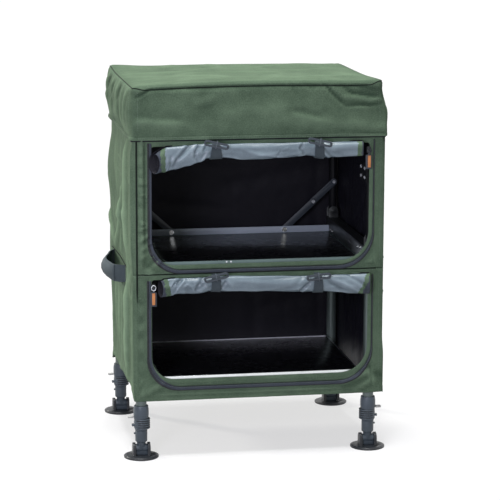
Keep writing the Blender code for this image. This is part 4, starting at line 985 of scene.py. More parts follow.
zip_tape = cloth("grey zip tape", dye(64, 70, 79), dye(108, 115, 126), 0.0010, 0.8, 0.0001)
zip_coil = moulded("black nylon coil", dye(16, 18, 22), dye(34, 38, 43), 0.5)
thread = moulded("pale green thread", dye(112, 132, 116), dye(154, 172, 156), 0.7)
link_corners = (
    (-1.9, -0.5, 0), (1.9, -0.5, 0), (1.9, 0.5, 0), (-1.9, 0.5, 0),
    (-1.3, -0.42, 1.1), (1.3, -0.42, 1.1), (1.3, 0.42, 1.1), (-1.3, 0.42, 1.1),
)
link_faces = ((3, 2, 1, 0), (4, 5, 6, 7), (0, 1, 5, 4), (1, 2, 6, 5), (2, 3, 7, 6), (3, 0, 4, 7))
for level, line in (
    ("upper", zip_line(-0.2460, 0.2670, 0.4355, 0.724)),
    ("lower", zip_line(-0.2480, 0.2670, 0.1650, 0.412)),
):
    band_along(f"{level}_zip_tape", line, (0.0056, -0.0004, 0.0008), (0.0002, -0.0078, -0.0012), zip_tape)
    # A black band in the coil's plastic beside the tape: partly the coil's edge, partly painted shadow along the
    # tape's outer edge and at the seam below the foot.
    band_along(f"{level}_zip_coil_band_and_shadow", line, (0.0004, -0.0076, -0.0010), (-0.0042, -0.0092, -0.0028), zip_coil)
    web = bmesh.new()
    for x, z, nx, nz in line:
        off = beside((-0.0018, 0.0006, 0), nx, nz)
        point, high = front_point(x - nx * off, z - nz * off)
        point.y -= 0.0018
        across, along = Vector((nx, 0, nz)), Vector((-nz, 0, nx))
        verts = []
        for a, b, c in link_corners:
            verts.append(web.verts.new(point + (across * a * 0.6 + along * b + OUT * c * 0.6) * 0.001))
        for quad in link_faces:
            web.faces.new([verts[k] for k in quad])
    bmesh.ops.recalc_face_normals(web, faces=web.faces)
    fit(as_piece(f"{level}_zip_coil", web), "frame", "zip_metal", zip_coil)
    for number, (off, lift) in enumerate(((-0.0020, 0.0021), (0.0050, 0.0002), (0.0092, 0.0002)), 1):
        spots = []
        for x, z, nx, nz in line[::2]:
            if number == 1 or x - nx * off >= -0.236:
                point, high = front_point(x - nx * off, z - nz * off)
                spots.append((point + OUT * lift, Vector((-nz, 0, nx)), OUT))
        sew(f"{level}_zip_stitches_{number}", spots, 0.0028, 0.00035)


# ---------------------------------------------------------------- cover seams
# A turned seam runs down each front corner and one crosses the front between
# the doors. Each is a narrow ridge of cloth with a row of stitches beside it.
def straight(first, last, pitch):
    """The middles of the stitches from one point to another."""
    count = int((Vector(last) - Vector(first)).length / pitch)
    return [Vector(first).lerp(Vector(last), (k + 0.5) / count) for k in range(count)]


seams = [((x, 0, HEM + 0.002), (x, 0, 0.735), UP) for x in (-0.2708, 0.2765)]
seams += [((-0.274, 0, z), (0.274, 0, z), ALONG) for z in (0.1466, SEAM + 0.0035, SEAM - 0.0035)]
spots = []
for first, last, way in seams:
    for spot in straight(first, last, 0.004):
        spots.append((front_point(spot.x, spot.z)[0] + OUT * 0.0001, way, OUT))
sew("front_seam_stitches", spots, 0.0028, 0.00035)


# ---------------------------------------------------------------- rolled doors
# Each door is unzipped and rolled up outwards, so its shiny grey lining shows
# outside. The green cloth shows at the bound ends and inside the roll. The hollow
# at each end is given black lining as painted shade.
# The door lining's wide range of colour and its strong fold shading paint light on the roll's crease ridges and shade
# in its grooves.
lining = cloth("grey door lining", dye(88, 105, 115), dye(182, 202, 212), 0.0009, 0.36, 0.00008, 90.0, 0.25)
lining.shader.inputs["Specular IOR Level"].default_value = 0.6
STRAPS = {"left": -0.098024, "right": 0.137024}
ROLL_AXIS, PANEL_FACE = -0.2318, -0.2203
rolls = {
    "upper": {
        "left": -0.247, "right": 0.238, "open": 0.022, "seed": 3,
        "top": [
            (-0.247, 0.7040), (-0.235, 0.7110), (-0.222, 0.7165), (-0.210, 0.7205), (-0.134, 0.7240), (0.238, 0.7235),
        ],
        "foot": [
            (-0.247, 0.6560), (-0.224, 0.6594), (-0.190, 0.6643), (-0.160, 0.6715), (-0.134, 0.6795), (-0.116, 0.6885),
            (-0.067, 0.6896), (-0.033, 0.6842), (0.006, 0.6835), (0.070, 0.6877), (0.104, 0.6903), (0.150, 0.6840),
            (0.238, 0.6870),
        ],
        "lines": [
            (-0.1590, 0.7196, -0.1882, 0.6889, 0.0032, -0.0030), (-0.1882, 0.6889, -0.1950, 0.6740, 0.0034, -0.0026),
            (-0.1500, 0.7150, -0.1790, 0.6850, 0.0040, 0.0016), (-0.1366, 0.7191, -0.1456, 0.7059, 0.0028, -0.0028),
            (-0.1456, 0.7059, -0.1467, 0.6947, 0.0030, -0.0030), (-0.1467, 0.6947, -0.1389, 0.6855, 0.0026, -0.0022),
            (-0.1209, 0.7180, -0.1276, 0.7055, 0.0028, -0.0030), (-0.2017, 0.6936, -0.2062, 0.6700, 0.0050, -0.0014),
            (-0.1150, 0.7060, -0.1290, 0.6860, 0.0030, 0.0018), (-0.0916, 0.7182, -0.0826, 0.7090, 0.0024, -0.0016),
            (-0.0781, 0.6954, -0.0441, 0.6879, 0.0030, 0.0016), (-0.0329, 0.7080, 0.0057, 0.6936, 0.0040, 0.0014),
            (0.0057, 0.6959, 0.0695, 0.6877, 0.0030, 0.0020), (0.0466, 0.7018, 0.0353, 0.6884, 0.0024, -0.0014),
            (0.0534, 0.7061, 0.0648, 0.7104, 0.0020, 0.0012), (0.0989, 0.7187, 0.0922, 0.7098, 0.0028, -0.0024),
            (0.0922, 0.7098, 0.1014, 0.6961, 0.0028, -0.0026), (0.0900, 0.6917, 0.1037, 0.6930, 0.0022, 0.0020),
            (0.1333, 0.7112, 0.1611, 0.6857, 0.0026, 0.0020), (0.1425, 0.7133, 0.1680, 0.6855, 0.0030, -0.0026),
            (0.1550, 0.7150, 0.1750, 0.7000, 0.0030, 0.0014), (0.1724, 0.6991, 0.1956, 0.6895, 0.0035, -0.0012),
        ],
    },
    "lower": {
        "left": -0.228, "right": 0.258, "open": 0.010, "seed": 9,
        "top": [
            (-0.228, 0.4150), (-0.218, 0.4195), (-0.200, 0.4212), (-0.135, 0.4222), (-0.066, 0.4235), (0.007, 0.4212),
            (0.095, 0.4184), (0.187, 0.4189), (0.258, 0.4190),
        ],
        "foot": [
            (-0.228, 0.3760), (-0.219, 0.3768), (-0.190, 0.3828), (-0.135, 0.3816), (-0.107, 0.3869), (-0.066, 0.3839),
            (0.007, 0.3815), (0.095, 0.3779), (0.153, 0.3771), (0.188, 0.3748), (0.223, 0.3689), (0.258, 0.3680),
        ],
        "lines": [
            (-0.1777, 0.4167, -0.1959, 0.4059, 0.0040, -0.0030), (-0.1959, 0.4059, -0.2050, 0.3924, 0.0036, -0.0030),
            (-0.1709, 0.4142, -0.1868, 0.3964, 0.0030, 0.0026), (-0.1868, 0.3964, -0.1937, 0.3852, 0.0026, 0.0024),
            (-0.1710, 0.4005, -0.1619, 0.4059, 0.0020, 0.0018), (-0.1619, 0.4059, -0.1528, 0.3999, 0.0020, 0.0020),
            (-0.1528, 0.3999, -0.1460, 0.3882, 0.0022, 0.0020), (-0.1640, 0.3950, -0.1600, 0.3850, 0.0050, -0.0014),
            (-0.1278, 0.4174, -0.1392, 0.4040, 0.0038, -0.0024), (-0.1392, 0.4040, -0.1449, 0.3904, 0.0030, -0.0028),
            (-0.1232, 0.4104, -0.1187, 0.3988, 0.0040, 0.0018), (-0.1187, 0.3988, -0.1346, 0.3901, 0.0040, 0.0020),
            (-0.0754, 0.4112, -0.0891, 0.3909, 0.0034, -0.0030), (-0.0754, 0.4158, -0.0594, 0.3968, 0.0030, 0.0018),
            (-0.0850, 0.4160, -0.0800, 0.4080, 0.0030, 0.0018), (0.1155, 0.4004, 0.0948, 0.3825, 0.0036, -0.0030),
            (0.1133, 0.3912, 0.0995, 0.3777, 0.0028, 0.0022), (0.1050, 0.4090, 0.0900, 0.3960, 0.0040, 0.0012),
            (0.1572, 0.4036, 0.1876, 0.3864, 0.0042, -0.0028), (0.1876, 0.3864, 0.2228, 0.3713, 0.0036, -0.0026),
            (0.1641, 0.4104, 0.1991, 0.3953, 0.0034, 0.0020), (0.1991, 0.3953, 0.2391, 0.3731, 0.0030, 0.0022),
            (0.2106, 0.4135, 0.2459, 0.3915, 0.0036, -0.0024), (0.2459, 0.3915, 0.2500, 0.3750, 0.0040, -0.0018),
            (0.0370, 0.3913, 0.0762, 0.3970, 0.0040, 0.0010),
        ],
    },
}


def outline(spots, x):
    """The height of a drawn outline at x, eased from spot to spot."""
    for (x0, z0), (x1, z1) in zip(spots, spots[1:]):
        if x <= x1:
            return z0 + (z1 - z0) * ease((x - x0) / (x1 - x0))
    return spots[-1][1]


def roll_point(roll, x, angle, off=0.0, creased=True):
    """A point of a rolled door: angle counts from the top, over the back and down, inwards as the cloth winds."""
    turn, back, up = angle / (2 * math.pi), math.sin(angle), math.cos(angle)
    top, foot = outline(roll["top"], x), outline(roll["foot"], x)
    tight = sum(hump((x - strap) / 0.016) for strap in STRAPS.values())
    end = hump((x - roll["left"]) / 0.03)
    deep = (0.0112 - 0.0019 * turn * (1 - 0.2 * end)) * (1 - 0.08 * tight)
    tall = (top - foot) / 2 * (1 - 0.125 * turn * (1 - 0.2 * end))
    front = ease((0.25 - back) / 0.9)
    z = (top + foot) / 2 + (tall + off) * up
    crease = 0.0
    if creased:
        crease = crease_height(roll["lines"], x, z, 0.0010) if front > 0 and turn < 3 else 0.0
        crease += 0.0012 * rumple(x * 24, back * 2.2, up * 2.2 + roll["seed"])
        crease += 0.0022 * rumple(x * 11, back * 1.3 + 7, up * 1.3 + roll["seed"]) * (1 - tight)
        crease *= ease((3.0 - turn) / 1.5)
    y = ROLL_AXIS + (deep + off) * back - crease * front
    z += 0.5 * crease * up
    x += roll["open"] * (0.5 - 0.5 * back) * end + 0.018 * end * ease((turn - 0.9) / 0.6)
    return Vector((x, min(y, PANEL_FACE), z)), crease


GREEN, TAPE, SHADE_FACES = 1, 2, 3
for level, inner_rows in (("upper", 67), ("lower", 45)):
    roll = rolls[level]
    columns = spread(roll["left"], roll["right"], int((roll["right"] - roll["left"]) / 0.0027))
    rows = [0.18 + 2 * math.pi * k / 46 for k in range(60)]
    rows += [rows[-1] + 2 * math.pi * k / 24 for k in range(1, inner_rows + 1)]
    reach = {rows[0]: 0.0}
    for first, second in zip(rows, rows[1:]):
        reach[second] = reach[first] + (roll_point(roll, 0.02, second)[0] - roll_point(roll, 0.02, first)[0]).length

    def place(x, angle, roll=roll, reach=reach):
        point, crease = roll_point(roll, x, angle)
        return point, crease, (x, reach[angle])

    door = weave_sheet(f"{level}_door_roll", columns, rows, place, 0)
    fit(door, "frame", "lining_cloth", lining, cover_cloth, zip_tape, black_lining)
    solid = door.modifiers.new("wall", "SOLIDIFY")
    solid.thickness, solid.offset, solid.material_offset, solid.material_offset_rim = 0.0007, -1, GREEN, GREEN
    bpy.ops.object.modifier_apply(modifier="wall")
    for face in door.data.polygons:
        spot = face.center.x
        high = (face.center.z - outline(roll["foot"], spot)) / 0.035
        near = 0.010 * (1 - high) if level == "lower" else 0.0
        edge = min(spot - roll["left"] - roll["open"] - 0.4 * near, roll["right"] - spot - 1.6 * near)
        edge += 0.004 * rumple(high * 3, spot * 5, 2)
        # Faces at the back of the roll near its ends get the black lining: painted shade for the dark hollow inside
        # the roll.
        if face.center.y > ROLL_AXIS and edge < 0.03:
            face.material_index = SHADE_FACES
        elif edge < 0.013:
            face.material_index = TAPE if edge < 0.003 else GREEN
    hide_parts(f"door_roll_{level}")


# ---------------------------------------------------------------- straps
# A strap of ribbed grey webbing is sewn to the cover above each door. It goes
# down behind the roll, round it and up in front to its toggle.
webbing = Finish("ribbed dark webbing", Specular_IOR_Level=0.3)
cut = webbing.cut()
ribs, weft = webbing.part(cut, 0).wave(0.0020), webbing.part(cut, 1).wave(0.0014)
hairs, patches = webbing.mottle(cut, 0.0008, 3, 0.8), webbing.mottle(webbing.place(), 0.02, 4)
tone = (ribs * 0.2 + hairs * 0.5 + patches * 0.4 - 0.1).upto(1.0)
webbing.feed(Base_Color=webbing.mix(tone, dye(58, 68, 74), dye(96, 108, 114)), Roughness=0.66 + 0.15 * hairs)
webbing.bump(ribs * 0.5 + weft * 0.2 + hairs * 0.3, 0.0004)
sewn_down, strap_rows, first_angle, sewn_face = 6, 50, 0.55, -0.2205
across_strap = [-1, -0.94, -0.5, -0.06, 0, 0.06, 0.5, 0.94, 1]
for level, side, wide, slim in (
    ("upper", "left", 0.0140, 0.0085), ("upper", "right", 0.0108, 0.0100),
    ("lower", "left", 0.0108, 0.0100), ("lower", "right", 0.0118, 0.0085),
):
    def place(across, step, roll=rolls[level], middle=STRAPS[side], wide=wide, slim=slim):
        angle = first_angle + (2 * math.pi - 0.62) * (step - sewn_down) / (strap_rows - sewn_down)
        half = slim + (wide - slim) * (0.5 - 0.5 * math.cos(max(angle, first_angle)))
        flat = (across * half, step * 0.003)
        if step < sewn_down:
            spot = roll_point(roll, middle, first_angle, 0.0010, False)[0]
            top = outline(roll["top"], middle) + 0.002
            z = top + (spot.z - top) * step / sewn_down
            y = sewn_face + (spot.y - sewn_face) * ease(step / sewn_down)
            return Vector((middle + across * 0.007, min(y, PANEL_FACE), z)), 0.0, flat
        spot = roll_point(roll, middle + across * half, angle, 0.0012, False)[0]
        spot.x = middle + across * half
        spot.y = min(spot.y - 0.0012 * ease(-math.sin(angle) / 0.5), PANEL_FACE)
        return spot, 0.0, flat

    strap = weave_sheet(f"{level}_{side}_strap", across_strap, range(strap_rows + 1), place)
    fit(give_wall(strap, 0.0013, out=-1), "frame", "webbing", webbing)
    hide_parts(f"strap_{level}_{side}")


# ---------------------------------------------------------------- toggles
# A grey moulded toggle with a long slot lies across the front of each strap. A
# small eye of grey cord round its middle ties it to the strap.
toggle_plastic = moulded("grey toggle plastic", dye(46, 52, 59), dye(82, 92, 101), 0.34)
cord = moulded("grey toggle cord", dye(74, 83, 90), dye(108, 118, 125), 0.6)
bar = block((0.0570, 0.0055, 0.0135))
bpy.ops.object.mode_set(mode="EDIT")
pick(bar, lambda edge: abs(edge.verts[0].co.y - edge.verts[1].co.y) > 0.004, "edges")
bpy.ops.mesh.bevel(offset=0.0066, segments=7)
pick(bar, lambda face: abs(face.normal.y) > 0.9)
bpy.ops.mesh.inset(thickness=0.0044, depth=0, use_individual=True)
bpy.ops.mesh.bridge_edge_loops()
face_outwards()
round_edges(bar, 0.0010, 3, 50)
smooth()
bpy.ops.mesh.primitive_torus_add(
    major_segments=36, minor_segments=10, major_radius=0.0060, minor_radius=0.0013, location=(0, 0, 0)
)
eye = bpy.context.object
bpy.ops.object.shade_smooth()
for level, side, height, tilt in (
    ("upper", "left", 0.7215, -12.8), ("upper", "right", 0.7225, -12.4),
    ("lower", "left", 0.4210, 12.4), ("lower", "right", 0.4150, 6.0),
):
    body = f"toggle_{level}_{side}"
    low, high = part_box(body)
    place = Matrix.Translation(Vector(((low.x + high.x) / 2, -0.24600, height)))
    place @= Matrix.Rotation(math.radians(-tilt), 4, "Y")
    toggle = another(bar, f"{level}_{side}_toggle", place)
    fit(toggle, body, "toggle_plastic", toggle_plastic)
    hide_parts(body)
    stand = Matrix.Rotation(math.radians(90), 4, "Y") @ Matrix.Diagonal((1.35, 0.62, 1.0, 1.0))
    loop = another(eye, f"{level}_{side}_toggle_eye", place @ Matrix.Translation((0, -0.0004, 0)) @ stand)
    fit(loop, body, "toggle_plastic", cord)
bpy.data.objects.remove(bar)
bpy.data.objects.remove(eye)


# ---------------------------------------------------------------- zip sliders and tabs
# Each zip has a dark cast slider parked at its end. A split ring on the
# slider carries a grey moulded tab with an orange bar let into its face.
tab_rubber = moulded("grey tab rubber", dye(50, 54, 60), dye(78, 84, 92), 0.6)
orange_bar = moulded("orange tab bar", dye(220, 134, 74), dye(240, 170, 112), 0.5)
enamel = moulded("dark slider enamel", dye(26, 29, 33), dye(44, 48, 53), 0.3)
for level, out, metal in (("lower", 0.0, zinc), ("upper", 0.001, enamel)):
    slider, pull = f"zip_slider_{level}", f"pull_tab_{level}"
    worked_copy(slider, f"{level}_zip_slider", nodes[slider]["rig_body"], "zip_metal", enamel, 0.0006, 3)
    body = nodes[pull]["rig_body"]
    worked_copy(pull, f"{level}_pull_tab", body, "tab_rubber", tab_rubber, 0.0006, 3)
    low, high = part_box(pull)
    middle = (low.x + high.x) / 2
    place = (middle + out, low.y - 0.0002, low.z + 0.0175)
    fit(small_bar(f"{level}_tab_bar", (0.0068, 0.0012, 0.027), place, 0.0005, 2), body, "tab_rubber", orange_bar)
    bpy.ops.mesh.primitive_torus_add(
        major_segments=36, minor_segments=8, major_radius=0.0050, minor_radius=0.0008, location=(0, 0, 0)
    )
    ring = bpy.context.object
    stand = Matrix.Rotation(1.48, 4, "X") @ Matrix.Diagonal((1.0, 1.2, 1.0, 1.0))
    ring.data.transform(Matrix.Translation((middle, low.y - 0.0010, high.z + 0.0010)) @ stand)
    ring.name = f"{level}_split_ring"
    bpy.ops.object.shade_smooth()
    fit(ring, body, "zip_metal", metal)


# ---------------------------------------------------------------- side handles
# A band of dark ribbed webbing is box-stitched to each side by its ends and
# stands off between them. A second turn of webbing stiffens the grip.
across_band = [-0.020, -0.0192, -0.012, -0.004, 0.004, 0.012, 0.0192, 0.020]
for side, hand in HANDS:
    made = []
    for layer, (first, last) in enumerate(((-0.088, 0.160), (-0.052, 0.124))):
        def place(high, y, hand=hand, layer=layer):
            bow = ease((y + 0.063) / 0.052) * ease((0.135 - y) / 0.052)
            off = (0.0478 + 0.0017 * hand) * math.sin(math.pi * min(max((y + 0.066) / 0.204, 0.0), 1.0) ** 0.8) ** 0.62
            off += 0.0003 + 0.0022 * layer - 0.010 * (high / 0.02) ** 2 * bow
            return Vector((hand * (0.2808 + off), y, 0.400 + high * (1 - 0.06 * layer))), 0.0, (high, y)

        made.append(give_wall(weave_sheet("band", across_band, spread(first, last, 60), place), 0.0021))
    handle = join_pieces(f"{side}_handle", made)
    fit(handle, "frame", "webbing", webbing)
    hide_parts(f"handle_{side}")
    spots, low, high = [], 0.383, 0.417
    for fore, rear in ((-0.086, -0.066), (0.138, 0.158)):
        for a, b in (((fore, low), (rear, low)), ((fore, high), (rear, high)), ((fore, low), (fore, high)),
                     ((rear, low), (rear, high)), ((fore, low), (rear, high)), ((fore, high), (rear, low))):
            way = Vector((0, b[0] - a[0], b[1] - a[1])).normalized()
            for spot in straight((0, *a), (0, *b), 0.0035):
                spots.append((Vector((hand * 0.2834, spot.y, spot.z)), way, Vector((hand, 0, 0))))
    sew(f"{side}_handle_stitches", spots, 0.0026, 0.0004, slot="webbing")


# ---------------------------------------------------------------- hood
# A lift-off cap of the same green cloth, cut as a top and four skirts. The top
# edges are piped, the corners are felled seams and the hem is turned up.
HALF_X, HALF_Y, CROWN, BRIM, ROUND = 0.2855, 0.2235, 0.850, 0.731, 0.009
creases = {
    "front": [
        (-0.2727, 0.8291, -0.2326, 0.8500, 0.0030, -0.0030), (-0.2660, 0.8400, -0.2303, 0.8500, 0.0030, 0.0024),
        (0.1624, 0.8420, 0.1971, 0.8189, 0.0036, 0.0026), (0.1971, 0.8189, 0.2548, 0.8111, 0.0036, 0.0026),
        (0.2548, 0.8111, 0.2848, 0.8129, 0.0036, 0.0022), (0.1440, 0.8480, 0.1625, 0.8330, 0.0030, -0.0022),
        (0.1625, 0.8330, 0.1973, 0.8053, 0.0034, -0.0026), (0.1806, 0.8500, 0.2131, 0.8276, 0.0030, -0.0026),
        (0.2131, 0.8276, 0.2731, 0.8198, 0.0032, -0.0026), (0.2088, 0.8029, 0.2664, 0.8041, 0.0040, -0.0022),
        (0.1290, 0.8440, 0.1360, 0.8340, 0.0022, -0.0016), (0.2350, 0.8440, 0.2790, 0.8360, 0.0030, 0.0018),
        (0.1865, 0.7467, 0.2836, 0.7380, 0.0050, -0.0018), (0.0711, 0.8500, 0.0826, 0.8276, 0.0040, -0.0018),
        (0.1052, 0.8480, 0.1236, 0.8336, 0.0040, -0.0018), (-0.2215, 0.8437, -0.0984, 0.8395, 0.0035, -0.0014),
        (-0.2663, 0.7846, -0.1770, 0.7762, 0.0080, -0.0018), (0.0852, 0.7938, 0.1402, 0.7793, 0.0070, -0.0016),
        (-0.275, 0.775, -0.150, 0.760, 0.015, 0.0018), (0.050, 0.770, 0.270, 0.752, 0.016, 0.0022),
        (-0.060, 0.790, 0.060, 0.800, 0.014, 0.0012), (-0.140, 0.812, -0.100, 0.822, 0.008, 0.0016),
    ],
    "side": [
        (0.150, 0.842, 0.190, 0.790, 0.012, 0.0050), (0.060, 0.845, 0.105, 0.770, 0.011, 0.0038),
        (-0.040, 0.845, -0.010, 0.760, 0.013, 0.0040), (-0.120, 0.842, -0.085, 0.765, 0.010, 0.0032),
        (-0.185, 0.838, -0.150, 0.775, 0.009, 0.0034), (0.000, 0.770, 0.160, 0.750, 0.012, 0.0022),
        (-0.200, 0.745, -0.060, 0.760, 0.010, 0.0018), (0.1124, 0.8422, 0.2100, 0.7850, 0.0070, -0.0030),
        (0.0086, 0.8486, 0.1170, 0.7825, 0.0070, -0.0028), (-0.0907, 0.8478, -0.0282, 0.7995, 0.0060, -0.0026),
    ],
}


def hood_point(x, y, z, free=0.0):
    """A point of the hood's outer face, from the same point of a plain box with sharp edges."""
    near = Vector((
        min(max(x, ROUND - HALF_X), HALF_X - ROUND), min(max(y, ROUND - HALF_Y), HALF_Y - ROUND), min(z, CROWN - ROUND)
    ))
    face = (Vector((x, y, z)) - near).normalized()
    down = (CROWN - z) / (CROWN - BRIM)
    calm = ease((HALF_X - abs(x)) / 0.03), ease((HALF_Y - abs(y)) / 0.03)
    top, front, back = max(face.z, 0) ** 2, max(-face.y, 0) ** 2, max(face.y, 0) ** 2
    left, right = max(-face.x, 0) ** 2, max(face.x, 0) ** 2
    ridge = 1 - 3.0 * abs(rumple(x * 5 + y * 4, y * 9 - x * 3, 2))
    high = top * (0.0012 + 0.0018 * max(ridge, 0.0) ** 2 + 0.0012 * rumple(x * 20, y * 20, 5)) * calm[0] * calm[1]
    # A low band along the top's front edge. Its fold value also paints the cloth paler there, as painted light behind
    # the edge.
    high += top * 0.0016 * hump((y + HALF_Y - 0.014) / 0.008) * calm[0]
    skirt = 0.0020 * rumple(x * 13 + 3, y * 13, z * 15) + 0.0009 * rumple(x * 45, y * 45, z * 45)
    skirt *= ease(down / 0.15)
    lines = crease_height(creases["front"], x, z, 0.002) * (0.3 + 0.7 * ease((0.29 - abs(x)) / 0.02))
    belly = 0.0100 * math.sin(math.pi * min(down, 1) ** 0.75) * calm[1]
    bow = (left + 0.6 * right) * belly + (front + back) * 0.0020 * math.sin(math.pi * min(down, 1)) * calm[0] ** 0.5
    high += bow + (front + back) * lines
    high += left * crease_height(creases["side"], y, z) * ease(down / 0.2) * calm[1]
    high += right * crease_height(creases["side"], -y, z) * ease(down / 0.2) * calm[1] * 0.8
    high += (1 - top) * skirt
    # A recess just below the front top edge. Its fold value also paints it darker, as painted shade under the edge.
    high -= front * 0.0035 * hump((CROWN - z - 0.0085) / 0.0035) * ease((x + 0.262) / 0.02) * ease((0.258 - x) / 0.02)
    band = 1 - ease((z - BRIM - 0.0070) / 0.0008)
    high += (0.0007 * band - 0.0006 * hump((z - BRIM - 0.0078) / 0.0007)) * (1 - top)
    fold = high - bow
    high = max(high, -0.0036)
    point = near + face * (ROUND + high)
    arch = (1 - (x / HALF_X) ** 2) * (1 - 0.35 * (y / HALF_Y) ** 2)
    lift = 0.0050 * arch + 0.0050 * (1 - ((x - 0.03) / 0.32) ** 2) * ease((0.05 - y) / 0.25)
    lift += 0.0060 * hump((x + 0.285) / 0.06) * hump((y - 0.2235) / 0.08)
    lift += 0.0050 * hump((x - 0.285) / 0.05) * hump((y + 0.2235) / 0.10) + 0.0015 * ease((x - 0.26) / 0.02)
    point.z += lift * ease((z - CROWN + 0.045) / 0.045)
    kick = ease((x - 0.250) / 0.033) * ease((0.835 - z) / 0.065)
    point.x += 0.0125 * kick * (1 - 0.6 * ease((y + 0.12) / 0.3))
    point.x -= 0.0030 * left * ease((0.745 - z) / 0.014)
    point.y -= 0.0035 * kick * free * ease((0.775 - z) / 0.03)
    return point, fold, face


def spaced(half, step=0.0065):
    """Places from -half to half: close together where the cloth turns the edge, even between."""
    edge = [0, 0.0022, 0.0045, 0.0068, 0.009, 0.013]
    inner = half - 0.018
    middle = spread(-inner, inner, int(2 * inner / step))
    return [-half + e for e in edge] + middle + [half - e for e in reversed(edge)]


across, deep = spaced(HALF_X), spaced(HALF_Y)
drop = [BRIM + e for e in (0, 0.001, 0.0025, 0.0045, 0.0062, 0.0070, 0.0078, 0.0084, 0.0092)]
drop += [CROWN - 0.012 - (CROWN - BRIM - 0.012 - 0.0105) * k / 26 for k in range(26, 0, -1)]
drop += [CROWN - e for e in (0.012, 0.009, 0.0068, 0.0045, 0.0022, 0)]
skirts = []
for label, run, climb, spot, free in (
    ("top", across, deep, lambda x, y: (x, y, CROWN), 0.0),
    ("front", across, drop, lambda x, z: (x, -HALF_Y, z), 1.0),
    ("back", across, drop, lambda x, z: (-x, HALF_Y, z), 0.0),
    ("left", deep, drop, lambda y, z: (-HALF_X, -y, z), 0.0),
    ("right", deep, drop, lambda y, z: (HALF_X, y, z), 0.0),
):
    def place(column, row, spot=spot, free=free):
        point, fold, face = hood_point(*spot(column, row), free)
        return point, fold, (column, row)

    skirts.append(weave_sheet(f"hood {label}", run, climb, place, 0))
hood = with_lining(join_pieces("hood_cap", skirts, 0.00002), 0.0016)
HOOD = nodes["hood"]["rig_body"]
fit(hood, HOOD, "cover_cloth")
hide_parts("hood")


def below_hem(column, row):
    """A point of the black strip below the hem, painted shadow, from the left rear corner round by the front."""
    left, front, right = 2 * HALF_Y, 2 * HALF_Y + 2 * HALF_X, 4 * HALF_Y + 2 * HALF_X
    if column <= left:
        spot = (-HALF_X, HALF_Y - column)
    elif column <= front:
        spot = (column - left - HALF_X, -HALF_Y)
    elif column <= right:
        spot = (HALF_X, column - front - HALF_Y)
    else:
        spot = (right + HALF_X - column, HALF_Y)
    point, fold, face = hood_point(*spot, BRIM + 0.0005)
    return point - face * 0.0030 - Vector((0, 0, row)), 0.0, (column, row)


# A black lining strip hangs just below the hem all round: painted shadow, for the dark line under the hem.
round_hood = spread(0, 4 * (HALF_X + HALF_Y), 360)
bound = weave_sheet("hood_hem_shadow_strip", round_hood, [-0.012, -0.004, 0.0016, 0.0036], below_hem)
fit(give_wall(bound, 0.0008), HOOD, "lining_cloth", black_lining)


# ---------------------------------------------------------------- piping and hood stitches
# A green cord is sewn into the front's seams, the seams that hold the handles
# and the hood's top edge. Rows of pale thread hold the hood's hem and corners.
# The piping's colour is near black: partly the cord's dark green, partly painted shade for the shadow lines along
# these seams.
piped = cloth("dark green piping with painted seam shade", dye(16, 23, 19), dye(40, 52, 44), 0.0009, 0.7)


def piping(name, spots, thick, body="frame"):
    """A cord sewn into a seam, through those points. thick gives its radius from the point."""
    def place(column, row):
        here = spots[column]
        way = (spots[min(column + 1, len(spots) - 1)] - spots[max(column - 1, 0)]).normalized()
        side = way.cross(Vector((0.3, 0.4, 1))).normalized()
        turned = math.radians(row * 45)
        out = side * math.cos(turned) + way.cross(side) * math.sin(turned)
        return here + out * thick(here), 0.0, (row * 0.001, column * 0.005)

    cord = weave_sheet(name, range(len(spots)), range(9), place)
    bpy.ops.object.mode_set(mode="EDIT")
    bpy.ops.mesh.select_all(action="DESELECT")
    bpy.ops.mesh.select_non_manifold()
    bpy.ops.mesh.edge_face_add()
    face_outwards()
    fit(cord, body, "cover_cloth", piped)


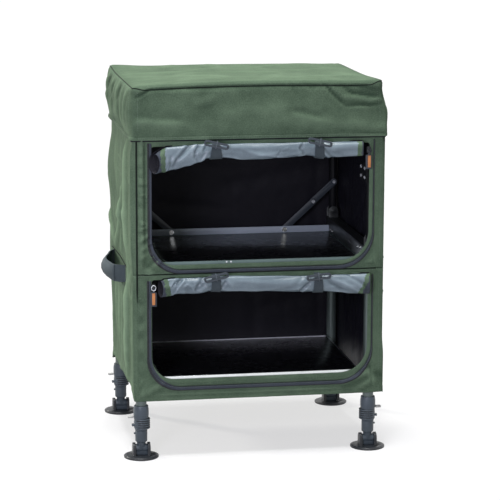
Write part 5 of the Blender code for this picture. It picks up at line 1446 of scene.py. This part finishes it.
corner_line = [front_point(-0.2742, 0.362 + 0.006 * k)[0] + OUT * 0.0001 for k in range(63)]
piping("left_corner_piping", corner_line, lambda spot: 0.0005 + 0.0015 * ease((spot.z - 0.36) / 0.03))
seam_line = [front_point(-0.272 + 0.006 * k, SEAM)[0] + OUT * 0.0001 for k in range(92)]
piping("door_seam_piping", seam_line, lambda spot: 0.0014)
for side, hand in HANDS:
    handle_line = []
    for k in range(54):
        y = -0.150 + 0.006 * k
        handle_line.append(side_point(hand, y, 0.4215 - 0.0135 * ease((-0.085 - y) / 0.065), 0.0006))
    piping(f"{side}_handle_seam", handle_line, lambda spot: 0.0011)
rim = [(x, -HALF_Y) for x in across[:-1]] + [(HALF_X, y) for y in deep[:-1]]
rim += [(-x, HALF_Y) for x in across[:-1]] + [(-HALF_X, -y) for y in deep]
rim_line = []
for x, y in rim:
    sunk = CROWN - 0.0085 * ease((0.2845 - abs(x)) / 0.03) * (y <= -HALF_Y)
    point, fold, face = hood_point(x, y, sunk)
    rim_line.append(point + face * 0.0003)
piping("hood_piping", rim_line, lambda spot: 0.0011, HOOD)
spots = []
for z in (BRIM + 0.0057, BRIM + 0.0022):
    for half, spot in (
        (HALF_X, lambda x: (x, -HALF_Y)), (HALF_X, lambda x: (-x, HALF_Y)),
        (HALF_Y, lambda y: (-HALF_X, -y)), (HALF_Y, lambda y: (HALF_X, y)),
    ):
        sewn = 2 * half - 0.03
        count = int(sewn / 0.004)
        for k in range(count):
            a = -half + 0.015 + sewn * (k + 0.5) / count
            point, fold, face = hood_point(*spot(a), z)
            ahead = hood_point(*spot(a + 0.001), z)[0]
            spots.append((point + face * 0.0002, (ahead - point).normalized(), face))
for x, y in ((-HALF_X + 0.014, -HALF_Y), (-HALF_X, -HALF_Y + 0.014), (HALF_X - 0.014, -HALF_Y)):
    for spot in straight((x, y, BRIM + 0.022), (x, y, CROWN - 0.012), 0.004):
        point, fold, face = hood_point(*spot)
        spots.append((point + face * 0.0002, UP, face))
sew("hood_stitches", spots, 0.0028, 0.0004, HOOD)


# ---------------------------------------------------------------- sides and doors
# These two loops go over the sides and the doors and do nothing.
for side in ("left", "right"):
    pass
for level, tall in (("upper", 0.269), ("lower", 0.231)):
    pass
